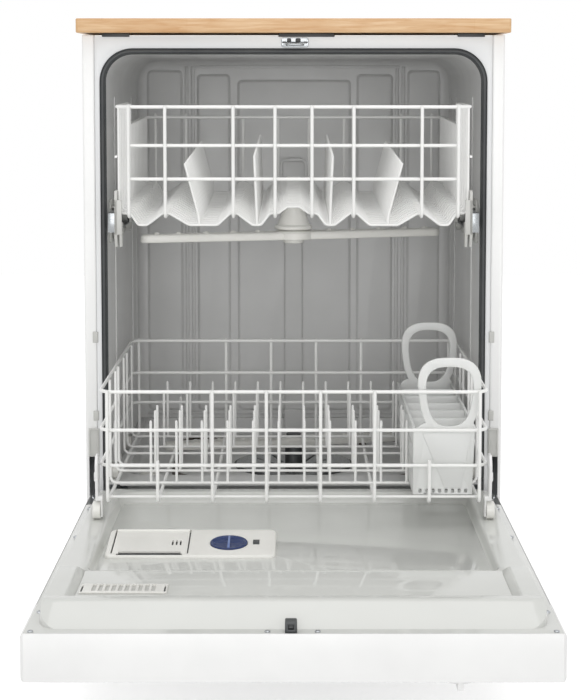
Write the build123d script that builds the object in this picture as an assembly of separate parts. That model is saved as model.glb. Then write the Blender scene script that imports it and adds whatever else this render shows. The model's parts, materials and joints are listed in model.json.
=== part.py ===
from build123d import *
import math
import os

# A portable dishwasher on casters, with its door lowered and both racks drawn forward.
# Millimetres. +Z is up, the front faces -Y and +X is to the right of someone facing it.
# Places are first worked out with y = 0 at the cabinet's front face and z = 0 on the floor.
# place_in_frame then centres the whole machine over the origin.

# Overall sizes
OVERALL_HEIGHT = 914.0
WORKTOP_WIDTH = 637.0
WORKTOP_THICKNESS = 21.0
WORKTOP_FRONT_OVERHANG = 14.0
WORKTOP_REAR_OVERHANG = 16.0
WORKTOP_GAP = 3.0
CABINET_WIDTH = 622.0
CABINET_DEPTH = 610.0
CABINET_SKIRT = 30.0
SHEET = 1.2
RETURN_GAP = 0.2
RETURN_LIP = 12.0

# Door opening, front frame and gasket
OPENING_WIDTH = 553.0
OPENING_TOP = 861.6
TRACK_HEIGHT = 222.5
OPENING_RADIUS = 40.0
GASKET_WIDTH = 9.0
FRAME_RAIL = 7.3
FRAME_THICKNESS = 6.0

# Tub
TUB_WALL = 3.0
TUB_DEPTH = 540.0
TUB_SINK = 30.5
SILL_DEPTH = 65.0
LEDGE_WIDTH = 20.0
RIB_HEIGHT = 2.5

# Door, lowered
DOOR_REACH = 695.0
DOOR_WIDTH = 608.0
DOOR_DROP = 67.5
DOOR_THICKNESS = 54.0
DOOR_HEEL = 12.0
CONSOLE_DEPTH = 124.0
CONSOLE_WALL = 2.5
LINER_WALL = 2.5
LINER_FLANGE_WIDTH = 597.0
LINER_BODY_WIDTH = 558.0
LINER_BODY_FRONT = 676.0
LINER_BODY_REAR = 38.0
LINER_RIM = 9.5
LINER_LEDGE_RISE = 2.5
BASIN_SINK = 16.5
BASIN_WIDTH = 508.0
BASIN_FRONT = 492.0
BASIN_REAR = 60.0
HINGE_Y = -13.5
HINGE_DROP = 24.0
HINGE_PIN_RADIUS = 4.0

# Dispenser on the door liner
DISPENSER_X = (-244.0, -23.0)
DISPENSER_Y = (-379.0, -283.0)
DISPENSER_REAR_HEIGHT = 17.0
DISPENSER_FRONT_HEIGHT = 8.0
LID_X = (-235.0, -138.0)
LID_Y = (-369.0, -288.0)
LID_THICKNESS = 2.4
CAP_CENTRE = (-84.7, -334.0)
CAP_RADIUS = 24.5

# Wire sizes and rack sizes
FRAME_WIRE = 4.8
FILL_WIRE = 3.8
UPPER_FRONT = -124.0
UPPER_DEPTH = 495.0
UPPER_HALF = 250.5
UPPER_SIDE_X = 247.0
UPPER_SIDE_FOOT = 643.0
UPPER_TOP_FRONT = 786.0
UPPER_TOP_STEP = 789.0
UPPER_STEP_Y = 68.0
UPPER_LOW_STEP = 757.0
UPPER_TOP_REAR = 763.5
UPPER_SIDE_RAIL = 716.0
UPPER_VALLEY = 619.0
UPPER_PEAK = 635.5
UPPER_HUMP = 645.0
UPPER_RISE = 18.0
UPPER_CROSS_WIRES = 20
UPPER_FLOOR_SEAM = 52.0
UPPER_FOOT_SEAM = 243.3
UPPER_UPRIGHTS = (26.0, 85.0, 181.0, 232.5)
UPPER_RAILS_Z = (731.7, 684.4)
UPPER_TINES = ((52.0, 3.5, 97.0), (134.0, 20.0, 86.0))
LOWER_FRONT = -230.0
LOWER_DEPTH = 502.0
LOWER_HALF = 265.0
LOWER_HEIGHT = 154.0
LOWER_LIFT = 22.5
LOWER_BEND = 8.0
TINE_PITCH = 36.4
TINE_COLUMNS = 11
TINE_FIRST_X = -203.0
TINE_HEIGHT = 88.0
LOWER_CROSS_Y = (-129.0, -49.0, -8.0, 74.0, 124.0, 205.0)
LOWER_LONG_X = (37.0, 111.0, 186.0, 254.6)
LOWER_RAILS = (101.0, 52.0)
CORNER_BEND = 18.0

# Slide rails, rollers and wheels
RAIL_OUTER = 268.5
RAIL_DEPTH = 14.5
RAIL_HEIGHT = 28.0
RAIL_BOTTOM = 604.0
RAIL_FRONT = -59.0
RAIL_WALL = 2.0
RACK_ROLLER_RADIUS = 11.4
TUB_ROLLER_RADIUS = 10.0
TUB_ROLLER_Y = (55.0, 245.0)
RACK_ROLLER_Y = (118.0, 352.0)
ROLLER_AXLE = 3.0
WHEEL_RADIUS = 12.0
WHEEL_X = (264.4, 275.4)
WHEEL_Y = (-222.0, 30.0, 247.0)
WHEEL_AXLE = 2.5
TRACK_STRIP = 2.0
TRACK_STRIP_X = (262.9, 275.4)
CLEARANCE = 0.3
RUNNING_CLEARANCE = 0.05

# Spray arms and feed
UPPER_ARM_CENTRE_Y = 113.0
UPPER_ARM_RADIUS = 240.0
UPPER_ARM_Z = (580.0, 592.0)
UPPER_ARM_ANGLE = 16.5
LOWER_ARM_RADIUS = 215.0
LOWER_ARM_LIFT = 34.0
ARM_THICKNESS = 12.0
LOWER_ARM_ANGLE = 12.0
SUMP_CENTRE_Y = 270.0
SUMP_RADIUS = 88.0
DOCK_Z = 612.0
DUCT_THICKNESS = 13.0
DOCK_LENGTH = 32.0

# Cutlery basket
BASKET_LEFT = 164.5
BASKET_RIGHT_BOTTOM = 246.0
BASKET_RIGHT_TOP = 250.0
BASKET_FRONT = -212.0
BASKET_LENGTH = 373.0
BASKET_HEIGHT = 104.0
BASKET_WALL = 2.0
BASKET_CELLS = 6
HANDLE_CENTRE_X = 214.5
HANDLE_WIDTH = 92.0
HANDLE_HEIGHT = 95.0
HANDLE_BAND = 10.0
HANDLE_DEPTH = 6.0

# Casters and base frame
CASTER_X = 255.0
CASTER_FRONT_Y = 70.0
CASTER_REAR_Y = 545.0
CASTER_HEIGHT = 66.0
CASTER_WHEEL_RADIUS = 25.0
CASTER_WHEEL_WIDTH = 18.0
CASTER_TRAIL = 18.0
BASE_CHANNEL = 25.0
BASE_WIDTH = 34.8
CROSS_CHANNEL_Y = (100.0, 285.0, 480.0)
CASTER_AXLE = 4.0
KINGPIN = 5.0

# Float, sump and pumps
FLOAT_X = -226.0
FLOAT_Y = 134.0
FLOAT_STEM = 4.0
PUMP_X = 60.0
PUMP_Y = (362.0, 500.0)
LOWER_SPIGOT = 8.0
SPIGOT_RADIUS = 10.0
UPPER_IN_TRAVEL = 148.0

# Console controls and latch
HANDLE_POCKET = 56.0
DIAL_X = 190.0
DIAL_SHAFT = 3.9
CONTROL_Y = -632.0
BUTTON_X = (-120.0, -90.0)
BUTTON_RADIUS = 8.0
BUTTON_TRAVEL = 3.0

# Door springs
SPRING_Y = (44.0, 210.0)
SPRING_Z = 240.0
SPRING_X = 294.0

# Ports in the back
PORT_POCKET_X = (-60.0, 100.0)
PORT_POCKET_Z = (110.0, 230.0)
PORT_POCKET_DEPTH = 24.0
INLET_PORT = (60.0, 185.0, 13.2)
DRAIN_PORT = (-20.0, 160.0, 9.5)
PORT_LENGTH = 18.0

# Values worked out from the sizes above
CABINET_HALF = CABINET_WIDTH / 2
CABINET_TOP = OVERALL_HEIGHT - WORKTOP_THICKNESS - WORKTOP_GAP
OPENING_HALF = OPENING_WIDTH / 2
GASKET_OUTER = OPENING_HALF + GASKET_WIDTH
FRAME_OUTER = GASKET_OUTER + FRAME_RAIL
FRAME_TOP_RAIL = OPENING_TOP + GASKET_WIDTH
TUB_OUTER = OPENING_HALF + TUB_WALL
BASIN_HALF_IN_TUB = OPENING_HALF - LEDGE_WIDTH
BASE_BOTTOM = CASTER_HEIGHT + 2.0
BASE_TOP = BASE_BOTTOM + BASE_CHANNEL
UPPER_REAR = UPPER_FRONT + UPPER_DEPTH
LOWER_REAR = LOWER_FRONT + LOWER_DEPTH
DOOR_UNDERSIDE = TRACK_HEIGHT - DOOR_DROP
DOOR_TOP = DOOR_UNDERSIDE + DOOR_THICKNESS
PANEL_FRONT = -DOOR_REACH + CONSOLE_DEPTH
WHEEL_Z = TRACK_HEIGHT + CLEARANCE + WHEEL_RADIUS
RACK_ROLLER_Z = RAIL_BOTTOM + RAIL_WALL + CLEARANCE + RACK_ROLLER_RADIUS
TUB_ROLLER_Z = RAIL_BOTTOM - CLEARANCE - TUB_ROLLER_RADIUS
LOWER_FLOOR = TRACK_HEIGHT + LOWER_LIFT
LOWER_TOP = LOWER_FLOOR + LOWER_HEIGHT
LOWER_RAILS_Z = tuple(LOWER_FLOOR + height for height in LOWER_RAILS)
BASKET_TOP = LOWER_FLOOR + BASKET_HEIGHT
HANDLE_TOP = BASKET_TOP + HANDLE_HEIGHT
LOWER_CROSS_Z = LOWER_FLOOR + FRAME_WIRE
TINE_BASE = LOWER_CROSS_Z + FILL_WIRE
LEDGE_HEIGHT = TRACK_HEIGHT - TRACK_STRIP
DUCT_FRONT_Y = TUB_DEPTH - DUCT_THICKNESS
DOCK_FACE_Y = DUCT_FRONT_Y - DOCK_LENGTH
RAIL_LENGTH = TUB_DEPTH - 25.0
LOWER_BAR_Y = (LOWER_FRONT + 16.0, LOWER_REAR - 16.0)
LOWER_SIDE_FLAT = LOWER_HALF - LOWER_BEND
HANDLE_PIVOT = (-DOOR_REACH + 15.0, DOOR_UNDERSIDE + 8.0)
UPPER_FIRST_WIRE = UPPER_FRONT + 14.0
UPPER_LAST_WIRE = UPPER_REAR - 14.0
UPPER_FLOOR_UNDERSIDE = UPPER_PEAK - FILL_WIRE / 2 - FRAME_WIRE
TUB_FLOOR = TRACK_HEIGHT - TUB_SINK
HINGE_Z = TRACK_HEIGHT - HINGE_DROP
LINER_RIM_HEIGHT = TRACK_HEIGHT + LINER_RIM
LINER_LEDGE = TRACK_HEIGHT + LINER_LEDGE_RISE
BASIN_FLOOR = TRACK_HEIGHT - BASIN_SINK
LOWER_ARM_Z = (TUB_FLOOR + LOWER_ARM_LIFT, TUB_FLOOR + LOWER_ARM_LIFT + ARM_THICKNESS)
FRAME_SHIFT_Y = (DOOR_REACH - CABINET_DEPTH - WORKTOP_REAR_OVERHANG) / 2


# Building blocks

def block(x, y, z):
    """A box that runs from the low to the high value given on each axis."""
    centre = [(low + high) / 2 for low, high in (x, y, z)]
    return Pos(*centre) * Box(x[1] - x[0], y[1] - y[0], z[1] - z[0])


def rod(start, end, radius):
    """A round bar between two points."""
    line = Vector(*end) - Vector(*start)
    seat = Plane(origin=start, z_dir=line)
    return seat * Cylinder(radius, line.length, align=(Align.CENTER, Align.CENTER, Align.MIN))


def both_sides(shapes):
    """The shapes and their mirror images across the machine's middle plane."""
    return list(shapes) + [mirror(shape, about=Plane.YZ) for shape in shapes]


def unit(vector):
    """A plane vector of length one."""
    length = math.hypot(*vector)
    return vector[0] / length, vector[1] / length


def ribbon(path, width):
    """The face of a strip of even width along open plane points, with mitred corners."""
    left, right = [], []
    for index, (x, y) in enumerate(path):
        after = path[min(index + 1, len(path) - 1)]
        before = path[max(index - 1, 0)]
        ahead = unit((after[0] - x, after[1] - y)) if after != (x, y) else None
        behind = unit((x - before[0], y - before[1])) if before != (x, y) else ahead
        ahead = ahead or behind
        mitre = (-behind[1] - ahead[1], behind[0] + ahead[0])
        reach = width / (2 + 2 * (behind[0] * ahead[0] + behind[1] * ahead[1]))
        left.append((x + mitre[0] * reach, y + mitre[1] * reach))
        right.append((x - mitre[0] * reach, y - mitre[1] * reach))
    return make_face(Polyline(*left, *reversed(right), close=True))


def bent(path, radius, chords=3):
    """The path with each inner corner eased into short chords of one arc."""
    eased = [path[0]]
    for before, corner, after in zip(path, path[1:], path[2:]):
        back = unit((before[0] - corner[0], before[1] - corner[1]))
        on = unit((after[0] - corner[0], after[1] - corner[1]))
        half_turn = math.acos(max(-1.0, min(1.0, back[0] * on[0] + back[1] * on[1]))) / 2
        middle = unit((back[0] + on[0], back[1] + on[1]))
        reach = radius / math.sin(half_turn)
        centre = (corner[0] + middle[0] * reach, corner[1] + middle[1] * reach)
        start = (corner[0] + back[0] * radius / math.tan(half_turn) - centre[0],
                 corner[1] + back[1] * radius / math.tan(half_turn) - centre[1])
        turn = math.pi - 2 * half_turn
        side = math.copysign(1.0, -back[0] * on[1] + back[1] * on[0])
        for step in range(chords + 1):
            angle = side * turn * step / chords
            eased.append((centre[0] + start[0] * math.cos(angle) - start[1] * math.sin(angle),
                          centre[1] + start[0] * math.sin(angle) + start[1] * math.cos(angle)))
    eased.append(path[-1])
    return eased


def across(face, y, width):
    """A face drawn in (x, z), given a width in depth from y backwards."""
    seat = Plane(origin=(0, y, 0), x_dir=(1, 0, 0), z_dir=(0, -1, 0))
    return extrude(seat * face, amount=-width)


def along(face, x, width):
    """A face drawn in (y, z), given a width to the right from x."""
    seat = Plane(origin=(x, 0, 0), x_dir=(0, 1, 0), z_dir=(1, 0, 0))
    return extrude(seat * face, amount=width)


def raised(face, z, height):
    """A face drawn in (x, y), given a height from z upwards."""
    return extrude(Pos(0, 0, z) * face, amount=height)


def polygon(*points):
    """A flat face through the given corners."""
    return make_face(Polyline(*points, close=True))


def arch(half, low, high, radius, foot_radius=4.0):
    """A face from -half to half and from low to high with large top and small bottom corners."""
    face = Pos(0, (low + high) / 2) * Rectangle(2 * half, high - low)
    face = fillet(face.vertices().group_by(Axis.Y)[-1], radius)
    return fillet(face.vertices().group_by(Axis.Y)[0], foot_radius)


def fused(shapes):
    """One solid made of shapes that touch."""
    first, *others = shapes
    return first.fuse(*others)


# Cabinet

def worktop():
    """The thick block top, its edges eased."""
    top = block((-WORKTOP_WIDTH / 2, WORKTOP_WIDTH / 2),
                (-WORKTOP_FRONT_OVERHANG, CABINET_DEPTH + WORKTOP_REAR_OVERHANG),
                (OVERALL_HEIGHT - WORKTOP_THICKNESS, OVERALL_HEIGHT))
    return [fillet(top.edges().filter_by(Axis.Z), 4.0)]


def worktop_brackets():
    """Dark tabs that carry the worktop over the cabinet, two sides, one wide middle, two rear."""
    tab_thickness = 2.0
    pieces = []
    for x in ((-281.0, -241.0), (-22.0, 60.0), (241.0, 281.0)):
        tab = block(x, (2.0, 60.0), (CABINET_TOP, CABINET_TOP + WORKTOP_GAP))
        leg = block(x, (FRAME_THICKNESS, FRAME_THICKNESS + tab_thickness),
                    (OPENING_TOP + 14.0, CABINET_TOP))
        pieces.append(tab + leg)
    for x in ((-281.0, -241.0), (241.0, 281.0)):
        pieces.append(block(x, (CABINET_DEPTH - 28.0, CABINET_DEPTH - 4.0),
                            (CABINET_TOP, CABINET_TOP + WORKTOP_GAP)))
    return pieces


def cabinet_sides():
    """Two folded steel sides, each with a front return, its inner lip and a rear return."""
    inner = FRAME_OUTER + RETURN_GAP
    line = FilletPolyline((inner, RETURN_LIP), (inner, 0), (CABINET_HALF, 0),
                          (CABINET_HALF, CABINET_DEPTH), (CABINET_HALF - 20.0, CABINET_DEPTH), radius=3.0)
    side = make_brake_formed(thickness=SHEET, station_widths=CABINET_TOP - CABINET_SKIRT,
                             line=line, side=Side.LEFT)
    side = Pos(0, 0, CABINET_SKIRT) * side
    hinge_slot = block((inner - 1.0, CABINET_HALF - 5.0), (-1.0, RETURN_LIP + 1.0), (188.0, 262.0))
    return both_sides([side - hinge_slot])


def cabinet_back():
    """The flat rear panel with its top flange, vent slots and the window for the ports."""
    inner = CABINET_HALF - 3.2
    face = CABINET_DEPTH - SHEET
    panel = block((-inner, inner), (face - SHEET, face), (CABINET_SKIRT + 30.0, CABINET_TOP))
    flange = block((-inner, inner), (face - 28.0, face), (CABINET_TOP - SHEET, CABINET_TOP))
    window = block((PORT_POCKET_X[0], PORT_POCKET_X[1]), (face - 2.0, face + 1.0),
                   (PORT_POCKET_Z[0], PORT_POCKET_Z[1]))
    slots = [block((x - 20.0, x + 20.0), (face - 2.0, face + 1.0), (z, z + 5.0))
             for x in (-230.0, -160.0, 160.0, 230.0) for z in (150.0, 165.0, 180.0)]
    return [panel.fuse(flange).cut(window, *slots)]


def rear_port_plate():
    """A recessed pocket in the back with the water inlet and the drain outlet stubs."""
    face = CABINET_DEPTH - 2 * SHEET
    floor = face - PORT_POCKET_DEPTH
    (x0, x1), (z0, z1) = PORT_POCKET_X, PORT_POCKET_Z
    rim = block((x0 - 8.0, x1 + 8.0), (face - SHEET, face), (z0 - 8.0, z1 + 8.0))
    shell = block((x0 - 2.0, x1 + 2.0), (floor, face), (z0 - 2.0, z1 + 2.0))
    hollow = block((x0, x1), (floor + 2.0, face + 1.0), (z0, z1))
    pocket = rim + shell - hollow
    for x, z, radius in (INLET_PORT, DRAIN_PORT):
        stub = rod((x, floor + 1.0, z), (x, floor + 2.0 + PORT_LENGTH, z), radius)
        bore = rod((x, floor + 4.0, z), (x, floor + 3.0 + PORT_LENGTH, z), radius - 3.0)
        pocket = pocket + stub - bore
    return [pocket]


def inlet_valve():
    """The water inlet valve behind its port, a body with its coil."""
    x, z, _ = INLET_PORT
    seat = CABINET_DEPTH - 2 * SHEET - PORT_POCKET_DEPTH
    body = block((x - 18.0, x + 18.0), (seat - 30.0, seat), (z - 18.0, z + 18.0))
    coil = rod((x, seat - 15.0, z + 18.0), (x, seat - 15.0, z + 48.0), 13.0)
    return [body + coil]


def channel(x, y):
    """A folded channel, open downwards, over the given rectangle at the base frame's height."""
    wall = 2.0
    outside = block(x, y, (BASE_BOTTOM, BASE_TOP))
    if x[1] - x[0] > y[1] - y[0]:
        inside = block((x[0] - 1.0, x[1] + 1.0), (y[0] + wall, y[1] - wall),
                       (BASE_BOTTOM - 1.0, BASE_TOP - wall))
    else:
        inside = block((x[0] + wall, x[1] - wall), (y[0] - 1.0, y[1] + 1.0),
                       (BASE_BOTTOM - 1.0, BASE_TOP - wall))
    return outside - inside


def base_frame():
    """Side and cross channels, corner plates for the casters, tub legs and spring anchors."""
    outer = CABINET_HALF - SHEET
    inner = outer - BASE_WIDTH
    plate_half = 35.0
    members = [channel((inner, outer), (14.0, CABINET_DEPTH - 8.0)),
               channel((-outer, -inner), (14.0, CABINET_DEPTH - 8.0))]
    members += [channel((-inner, inner), (y - 15.0, y + 15.0)) for y in CROSS_CHANNEL_Y]
    for side in (-1, 1):
        for y in (CASTER_FRONT_Y, CASTER_REAR_Y):
            x = sorted((side * (CASTER_X - 40.0), side * outer))
            members.append(block(x, (y - plate_half, y + plate_half), (CASTER_HEIGHT, BASE_BOTTOM)))
        for y in (CROSS_CHANNEL_Y[0], CROSS_CHANNEL_Y[2]):
            x = sorted((side * 190.0, side * 226.0))
            leg = block(x, (y - 12.0, y + 12.0), (BASE_TOP, TUB_FLOOR - TUB_WALL))
            gap = block((x[0] + 2.0, x[1] - 2.0), (y - 10.0, y + 13.0), (BASE_TOP, TUB_FLOOR))
            members.append(leg - gap)
        strap = sorted((side * 288.0, side * 300.0))
        members.append(block(strap, (SPRING_Y[1] + 14.0, SPRING_Y[1] + 20.0), (BASE_TOP, SPRING_Z + 12.0)))
    return [fused(members)]


def access_panel():
    """The lower front panel under the door, with turned edges."""
    half = FRAME_OUTER - 1.0
    top = DOOR_UNDERSIDE - 6.0
    face = block((-half, half), (0.0, SHEET), (CABINET_SKIRT + 2.0, top))
    upper_flange = block((-half, half), (0.0, 20.0), (top - SHEET, top))
    lower_flange = block((-half, half), (0.0, 14.0), (CABINET_SKIRT + 2.0, CABINET_SKIRT + 2.0 + SHEET))
    reach = CABINET_HALF - 19.2
    tabs = [block(sorted((side * reach, side * (half - 20.0))), (12.8, 14.0), (BASE_BOTTOM, top))
            for side in (-1, 1)]
    return [fused([face, upper_flange, lower_flange] + tabs)]


def front_frame():
    """The pale inner frame round the door opening."""
    outer = Pos(0, (150.0 + CABINET_TOP) / 2) * Rectangle(2 * FRAME_OUTER, CABINET_TOP - 150.0)
    hole = arch(GASKET_OUTER, 168.0, FRAME_TOP_RAIL, OPENING_RADIUS + GASKET_WIDTH)
    return [across(outer - hole, 0.0, FRAME_THICKNESS)]


def door_gasket():
    """The lipped seal round the top and sides of the opening: a flat foot and a raised bulb."""
    end = TRACK_HEIGHT + 6.0

    def band(outer_inset, inner_inset, y, depth):
        outer = arch(GASKET_OUTER - outer_inset, 100.0, FRAME_TOP_RAIL - outer_inset,
                     OPENING_RADIUS + GASKET_WIDTH - outer_inset)
        inner = arch(OPENING_HALF + inner_inset, 90.0, OPENING_TOP + inner_inset,
                     OPENING_RADIUS + inner_inset)
        strip = across(outer - inner, y, depth)
        return strip - block((-400.0, 400.0), (y - 1.0, y + depth + 1.0), (0.0, end))

    foot = band(0.0, 0.0, 2.0, FRAME_THICKNESS - 2.0)
    bulb = band(2.4, 2.0, -4.0, 6.0)
    return [foot + bulb]


def latch_strike():
    """The bright strike on the top rail that the door's latch catches."""
    plate = block((-18.0, 22.0), (-1.6, 0.0), (872.0, 886.0))
    bar = across(ribbon(bent([(-10.0, 872.0), (-10.0, 880.0), (14.0, 880.0), (14.0, 872.0)], 3.0), 4.0),
                 -14.0, 4.0)
    stays = [block((x - 2.0, x + 2.0), (-14.0, -1.0), (872.5, 876.5)) for x in (-10.0, 14.0)]
    return [fused([plate, bar] + stays)]


def frame_clips():
    """Small moulded clips on the joint of the cabinet's return and the frame."""
    pieces = []
    for low, high in ((434.6, 451.0), (316.9, 331.8)):
        clip = block((FRAME_OUTER - 1.8, FRAME_OUTER + 6.2), (-2.5, 0.0), (low, high))
        pieces.append(chamfer(clip.edges().group_by(Axis.Y)[0], 1.0))
    return both_sides(pieces)


def hinge_brackets():
    """The right hinge cover over its slot and the pivot plate that carries the hinge pin."""
    cover = block((FRAME_OUTER - 1.8, FRAME_OUTER + 13.2), (-3.0, 0.0), (263.0, 305.0))
    cover = chamfer(cover.edges().group_by(Axis.Y)[0], 1.0)
    plate = along(polygon((HINGE_Y - 10.0, HINGE_Z - 8.0), (0.0, HINGE_Z - 8.0), (48.0, HINGE_Z - 8.0),
                          (48.0, HINGE_Z + 14.0), (0.0, HINGE_Z + 12.0), (HINGE_Y - 10.0, HINGE_Z + 7.5)),
                  296.8, 3.0)
    tab = block((289.4, 296.8), (FRAME_THICKNESS, FRAME_THICKNESS + 3.0), (HINGE_Z - 8.0, HINGE_Z + 12.0))
    bore = rod((290.0, HINGE_Y, HINGE_Z), (305.0, HINGE_Y, HINGE_Z), HINGE_PIN_RADIUS + RUNNING_CLEARANCE)
    return [cover, plate + tab - bore]


# Tub and water parts

def tub():
    """The moulded tub: ribbed walls, front flange and sill, ledges with wheel strips, a sunk floor."""
    shell = arch(TUB_OUTER, LEDGE_HEIGHT - TUB_WALL, OPENING_TOP + TUB_WALL, OPENING_RADIUS + TUB_WALL, 6.0)
    outside = across(shell, FRAME_THICKNESS, TUB_DEPTH + TUB_WALL - FRAME_THICKNESS)
    flange = across(arch(GASKET_OUTER + 3.5, TRACK_HEIGHT - 35.0, FRAME_TOP_RAIL + 3.5, OPENING_RADIUS),
                    FRAME_THICKNESS, TUB_WALL)
    basin_x = (-BASIN_HALF_IN_TUB - TUB_WALL, BASIN_HALF_IN_TUB + TUB_WALL)
    basin_outside = block(basin_x, (SILL_DEPTH - TUB_WALL, TUB_DEPTH - 9.0),
                          (TUB_FLOOR - TUB_WALL, LEDGE_HEIGHT))
    lip = block((-OPENING_HALF + 16.0, OPENING_HALF - 16.0), (0.0, FRAME_THICKNESS),
                (LEDGE_HEIGHT - TUB_WALL, TRACK_HEIGHT))
    body = fused([outside, flange, basin_outside, lip])
    space = across(arch(OPENING_HALF, LEDGE_HEIGHT, OPENING_TOP, OPENING_RADIUS, 1.0), FRAME_THICKNESS,
                   TUB_DEPTH - FRAME_THICKNESS)
    mouth = across(arch(OPENING_HALF, TRACK_HEIGHT, OPENING_TOP, OPENING_RADIUS, 1.0), FRAME_THICKNESS - 1.0,
                   2.0)
    basin = block((-BASIN_HALF_IN_TUB, BASIN_HALF_IN_TUB), (SILL_DEPTH, TUB_DEPTH - 12.0),
                  (TUB_FLOOR, TRACK_HEIGHT + 1.0))
    basin = fillet(basin.edges().filter_by(Axis.Z), 28.0)
    sump_hole = rod((0, SUMP_CENTRE_Y, TUB_FLOOR - 5.0), (0, SUMP_CENTRE_Y, TUB_FLOOR + 5.0), SUMP_RADIUS)
    body = body.cut(space, mouth, basin, sump_hole)
    boss = rod((FLOAT_X, FLOAT_Y, TUB_FLOOR - 1.0), (FLOAT_X, FLOAT_Y, TUB_FLOOR + 4.0), 9.0)
    float_hole = rod((FLOAT_X, FLOAT_Y, TUB_FLOOR - 6.0), (FLOAT_X, FLOAT_Y, TUB_FLOOR + 6.0),
                     FLOAT_STEM + RUNNING_CLEARANCE)
    back = (TUB_DEPTH - RIB_HEIGHT, TUB_DEPTH + 0.5)
    ribs = [block((x - 2.0, x + 2.0), back, (240.0, 845.0))
            for x in (-195.0, -185.0, -175.0, 178.0, 188.0, 198.0)]
    ribs += [block((x - 4.0, x + 4.0), back, (240.0, 845.0)) for x in (-106.0, 108.0)]
    ribs += [block((-235.0, 235.0), back, (z - 2.0, z + 2.0)) for z in (829.0, 838.0, 848.0, 498.0)]
    strips = [block(sorted((side * TRACK_STRIP_X[0], side * TRACK_STRIP_X[1])),
                    (FRAME_THICKNESS, TUB_DEPTH - 12.0),
                    (LEDGE_HEIGHT, TRACK_HEIGHT)) for side in (-1, 1)]
    return [body.fuse(boss, *ribs).cut(float_hole)] + strips


def float_cap():
    """The overfill float: a mushroom cap whose stem runs in the floor's boss."""
    seat = TUB_FLOOR + 4.0 + CLEARANCE
    profile = polygon((0, seat - 26.0), (FLOAT_STEM, seat - 26.0), (FLOAT_STEM, seat), (18.0, seat),
                      (18.0, seat + 7.0), (13.0, seat + 12.0), (0, seat + 12.0))
    return [Pos(FLOAT_X, FLOAT_Y) * revolve(Plane.XZ * profile, Axis.Z)]


def sump():
    """The bowl under the tub floor, with its flange, pump stubs and the arm's column and nut."""
    wall = 3.0
    outer = SUMP_RADIUS - CLEARANCE
    seat = LOWER_ARM_Z[0] - CLEARANCE
    nut = LOWER_ARM_Z[1] + 3.0 + CLEARANCE
    profile = polygon((0, 138.0), (52.0, 138.0), (outer, 158.0), (outer, TUB_FLOOR),
                      (SUMP_RADIUS + 10.0, TUB_FLOOR),
                      (SUMP_RADIUS + 10.0, TUB_FLOOR + 2.0), (outer - wall, TUB_FLOOR + 2.0),
                      (outer - wall, 160.0), (50.0, 141.0), (14.0, 141.0), (14.0, seat),
                      (LOWER_SPIGOT, seat), (LOWER_SPIGOT, nut), (12.0, nut), (12.0, nut + 3.0),
                      (0, nut + 3.0))
    bowl = Pos(0, SUMP_CENTRE_Y) * revolve(Plane.XZ * profile, Axis.Z)
    wash_stub = rod((PUMP_X, SUMP_CENTRE_Y + 62.0, 160.0), (PUMP_X, PUMP_Y[0], 160.0), 14.0)
    drain_stub = rod((-PUMP_X, SUMP_CENTRE_Y + 62.0, 160.0), (-PUMP_X, PUMP_Y[0], 160.0), 9.0)
    spare = Pos(0, SUMP_CENTRE_Y) * Cylinder(outer - 1.5, 400.0)
    return [bowl + (wash_stub - spare) + (drain_stub - spare)]


def wash_pump():
    """The wash pump: volute, ribbed motor can and its foot on the base frame."""
    centre = 136.0
    volute = rod((PUMP_X, PUMP_Y[0], centre), (PUMP_X, PUMP_Y[0] + 26.0, centre), 44.0)
    can = rod((PUMP_X, PUMP_Y[0] + 26.0, centre), (PUMP_X, PUMP_Y[1] - 8.0, centre), 37.0)
    cap = rod((PUMP_X, PUMP_Y[1] - 8.0, centre), (PUMP_X, PUMP_Y[1], centre), 28.0)
    foot = block((PUMP_X - 24.0, PUMP_X + 24.0), (CROSS_CHANNEL_Y[2] - 12.0, CROSS_CHANNEL_Y[2] + 10.0),
                 (BASE_TOP, centre))
    return [fused([volute, can, cap, foot])]


def drain_pump():
    """The small drain pump on the other side of the sump."""
    centre = 152.0
    head = rod((-PUMP_X, PUMP_Y[0], centre), (-PUMP_X, PUMP_Y[0] + 20.0, centre), 28.0)
    motor = block((-PUMP_X - 22.0, -PUMP_X + 22.0), (PUMP_Y[0] + 20.0, PUMP_Y[0] + 62.0),
                  (centre - 22.0, centre + 22.0))
    return [head + fillet(motor.edges().filter_by(Axis.Y), 6.0)]


def filter_screen():
    """The shallow slotted filter cone round the feed column."""
    profile = polygon((15.0, 186.0), (30.0, 186.0), (80.0, TUB_FLOOR + 2.0), (94.0, TUB_FLOOR + 2.0),
                      (94.0, TUB_FLOOR + 4.0), (79.0, TUB_FLOOR + 4.0), (29.0, 188.0), (15.0, 188.0))
    cone = revolve(Plane.XZ * profile, Axis.Z)
    slots = [Rot(0, 0, 30.0 * k) * Pos(54.0, 0, 190.0) * Box(36.0, 4.0, 24.0) for k in range(12)]
    return [Pos(0, SUMP_CENTRE_Y) * cone.cut(*slots)]


def heating_element():
    """The heater loop over the floor on its clips, with two feet through the rear."""
    wire, low = 7.0, 200.0
    path = bent([(14.0, 112.0), (190.0, 112.0), (190.0, 434.0), (-190.0, 434.0), (-190.0, 112.0),
                 (-14.0, 112.0)],
                50.0, 5)
    loop = raised(ribbon(path, wire), low, wire)
    feet = [block((x - 3.5, x + 3.5), (108.5, 115.5), (TUB_FLOOR, low)) for x in (-17.5, 17.5)]
    clips = [block((x - 6.0, x + 6.0), (y - 4.0, y + 4.0), (TUB_FLOOR, low))
             for x, y in ((190.0, 270.0), (-190.0, 270.0), (120.0, 434.0), (-120.0, 434.0))]
    return [fused([loop] + feet + clips)]


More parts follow.
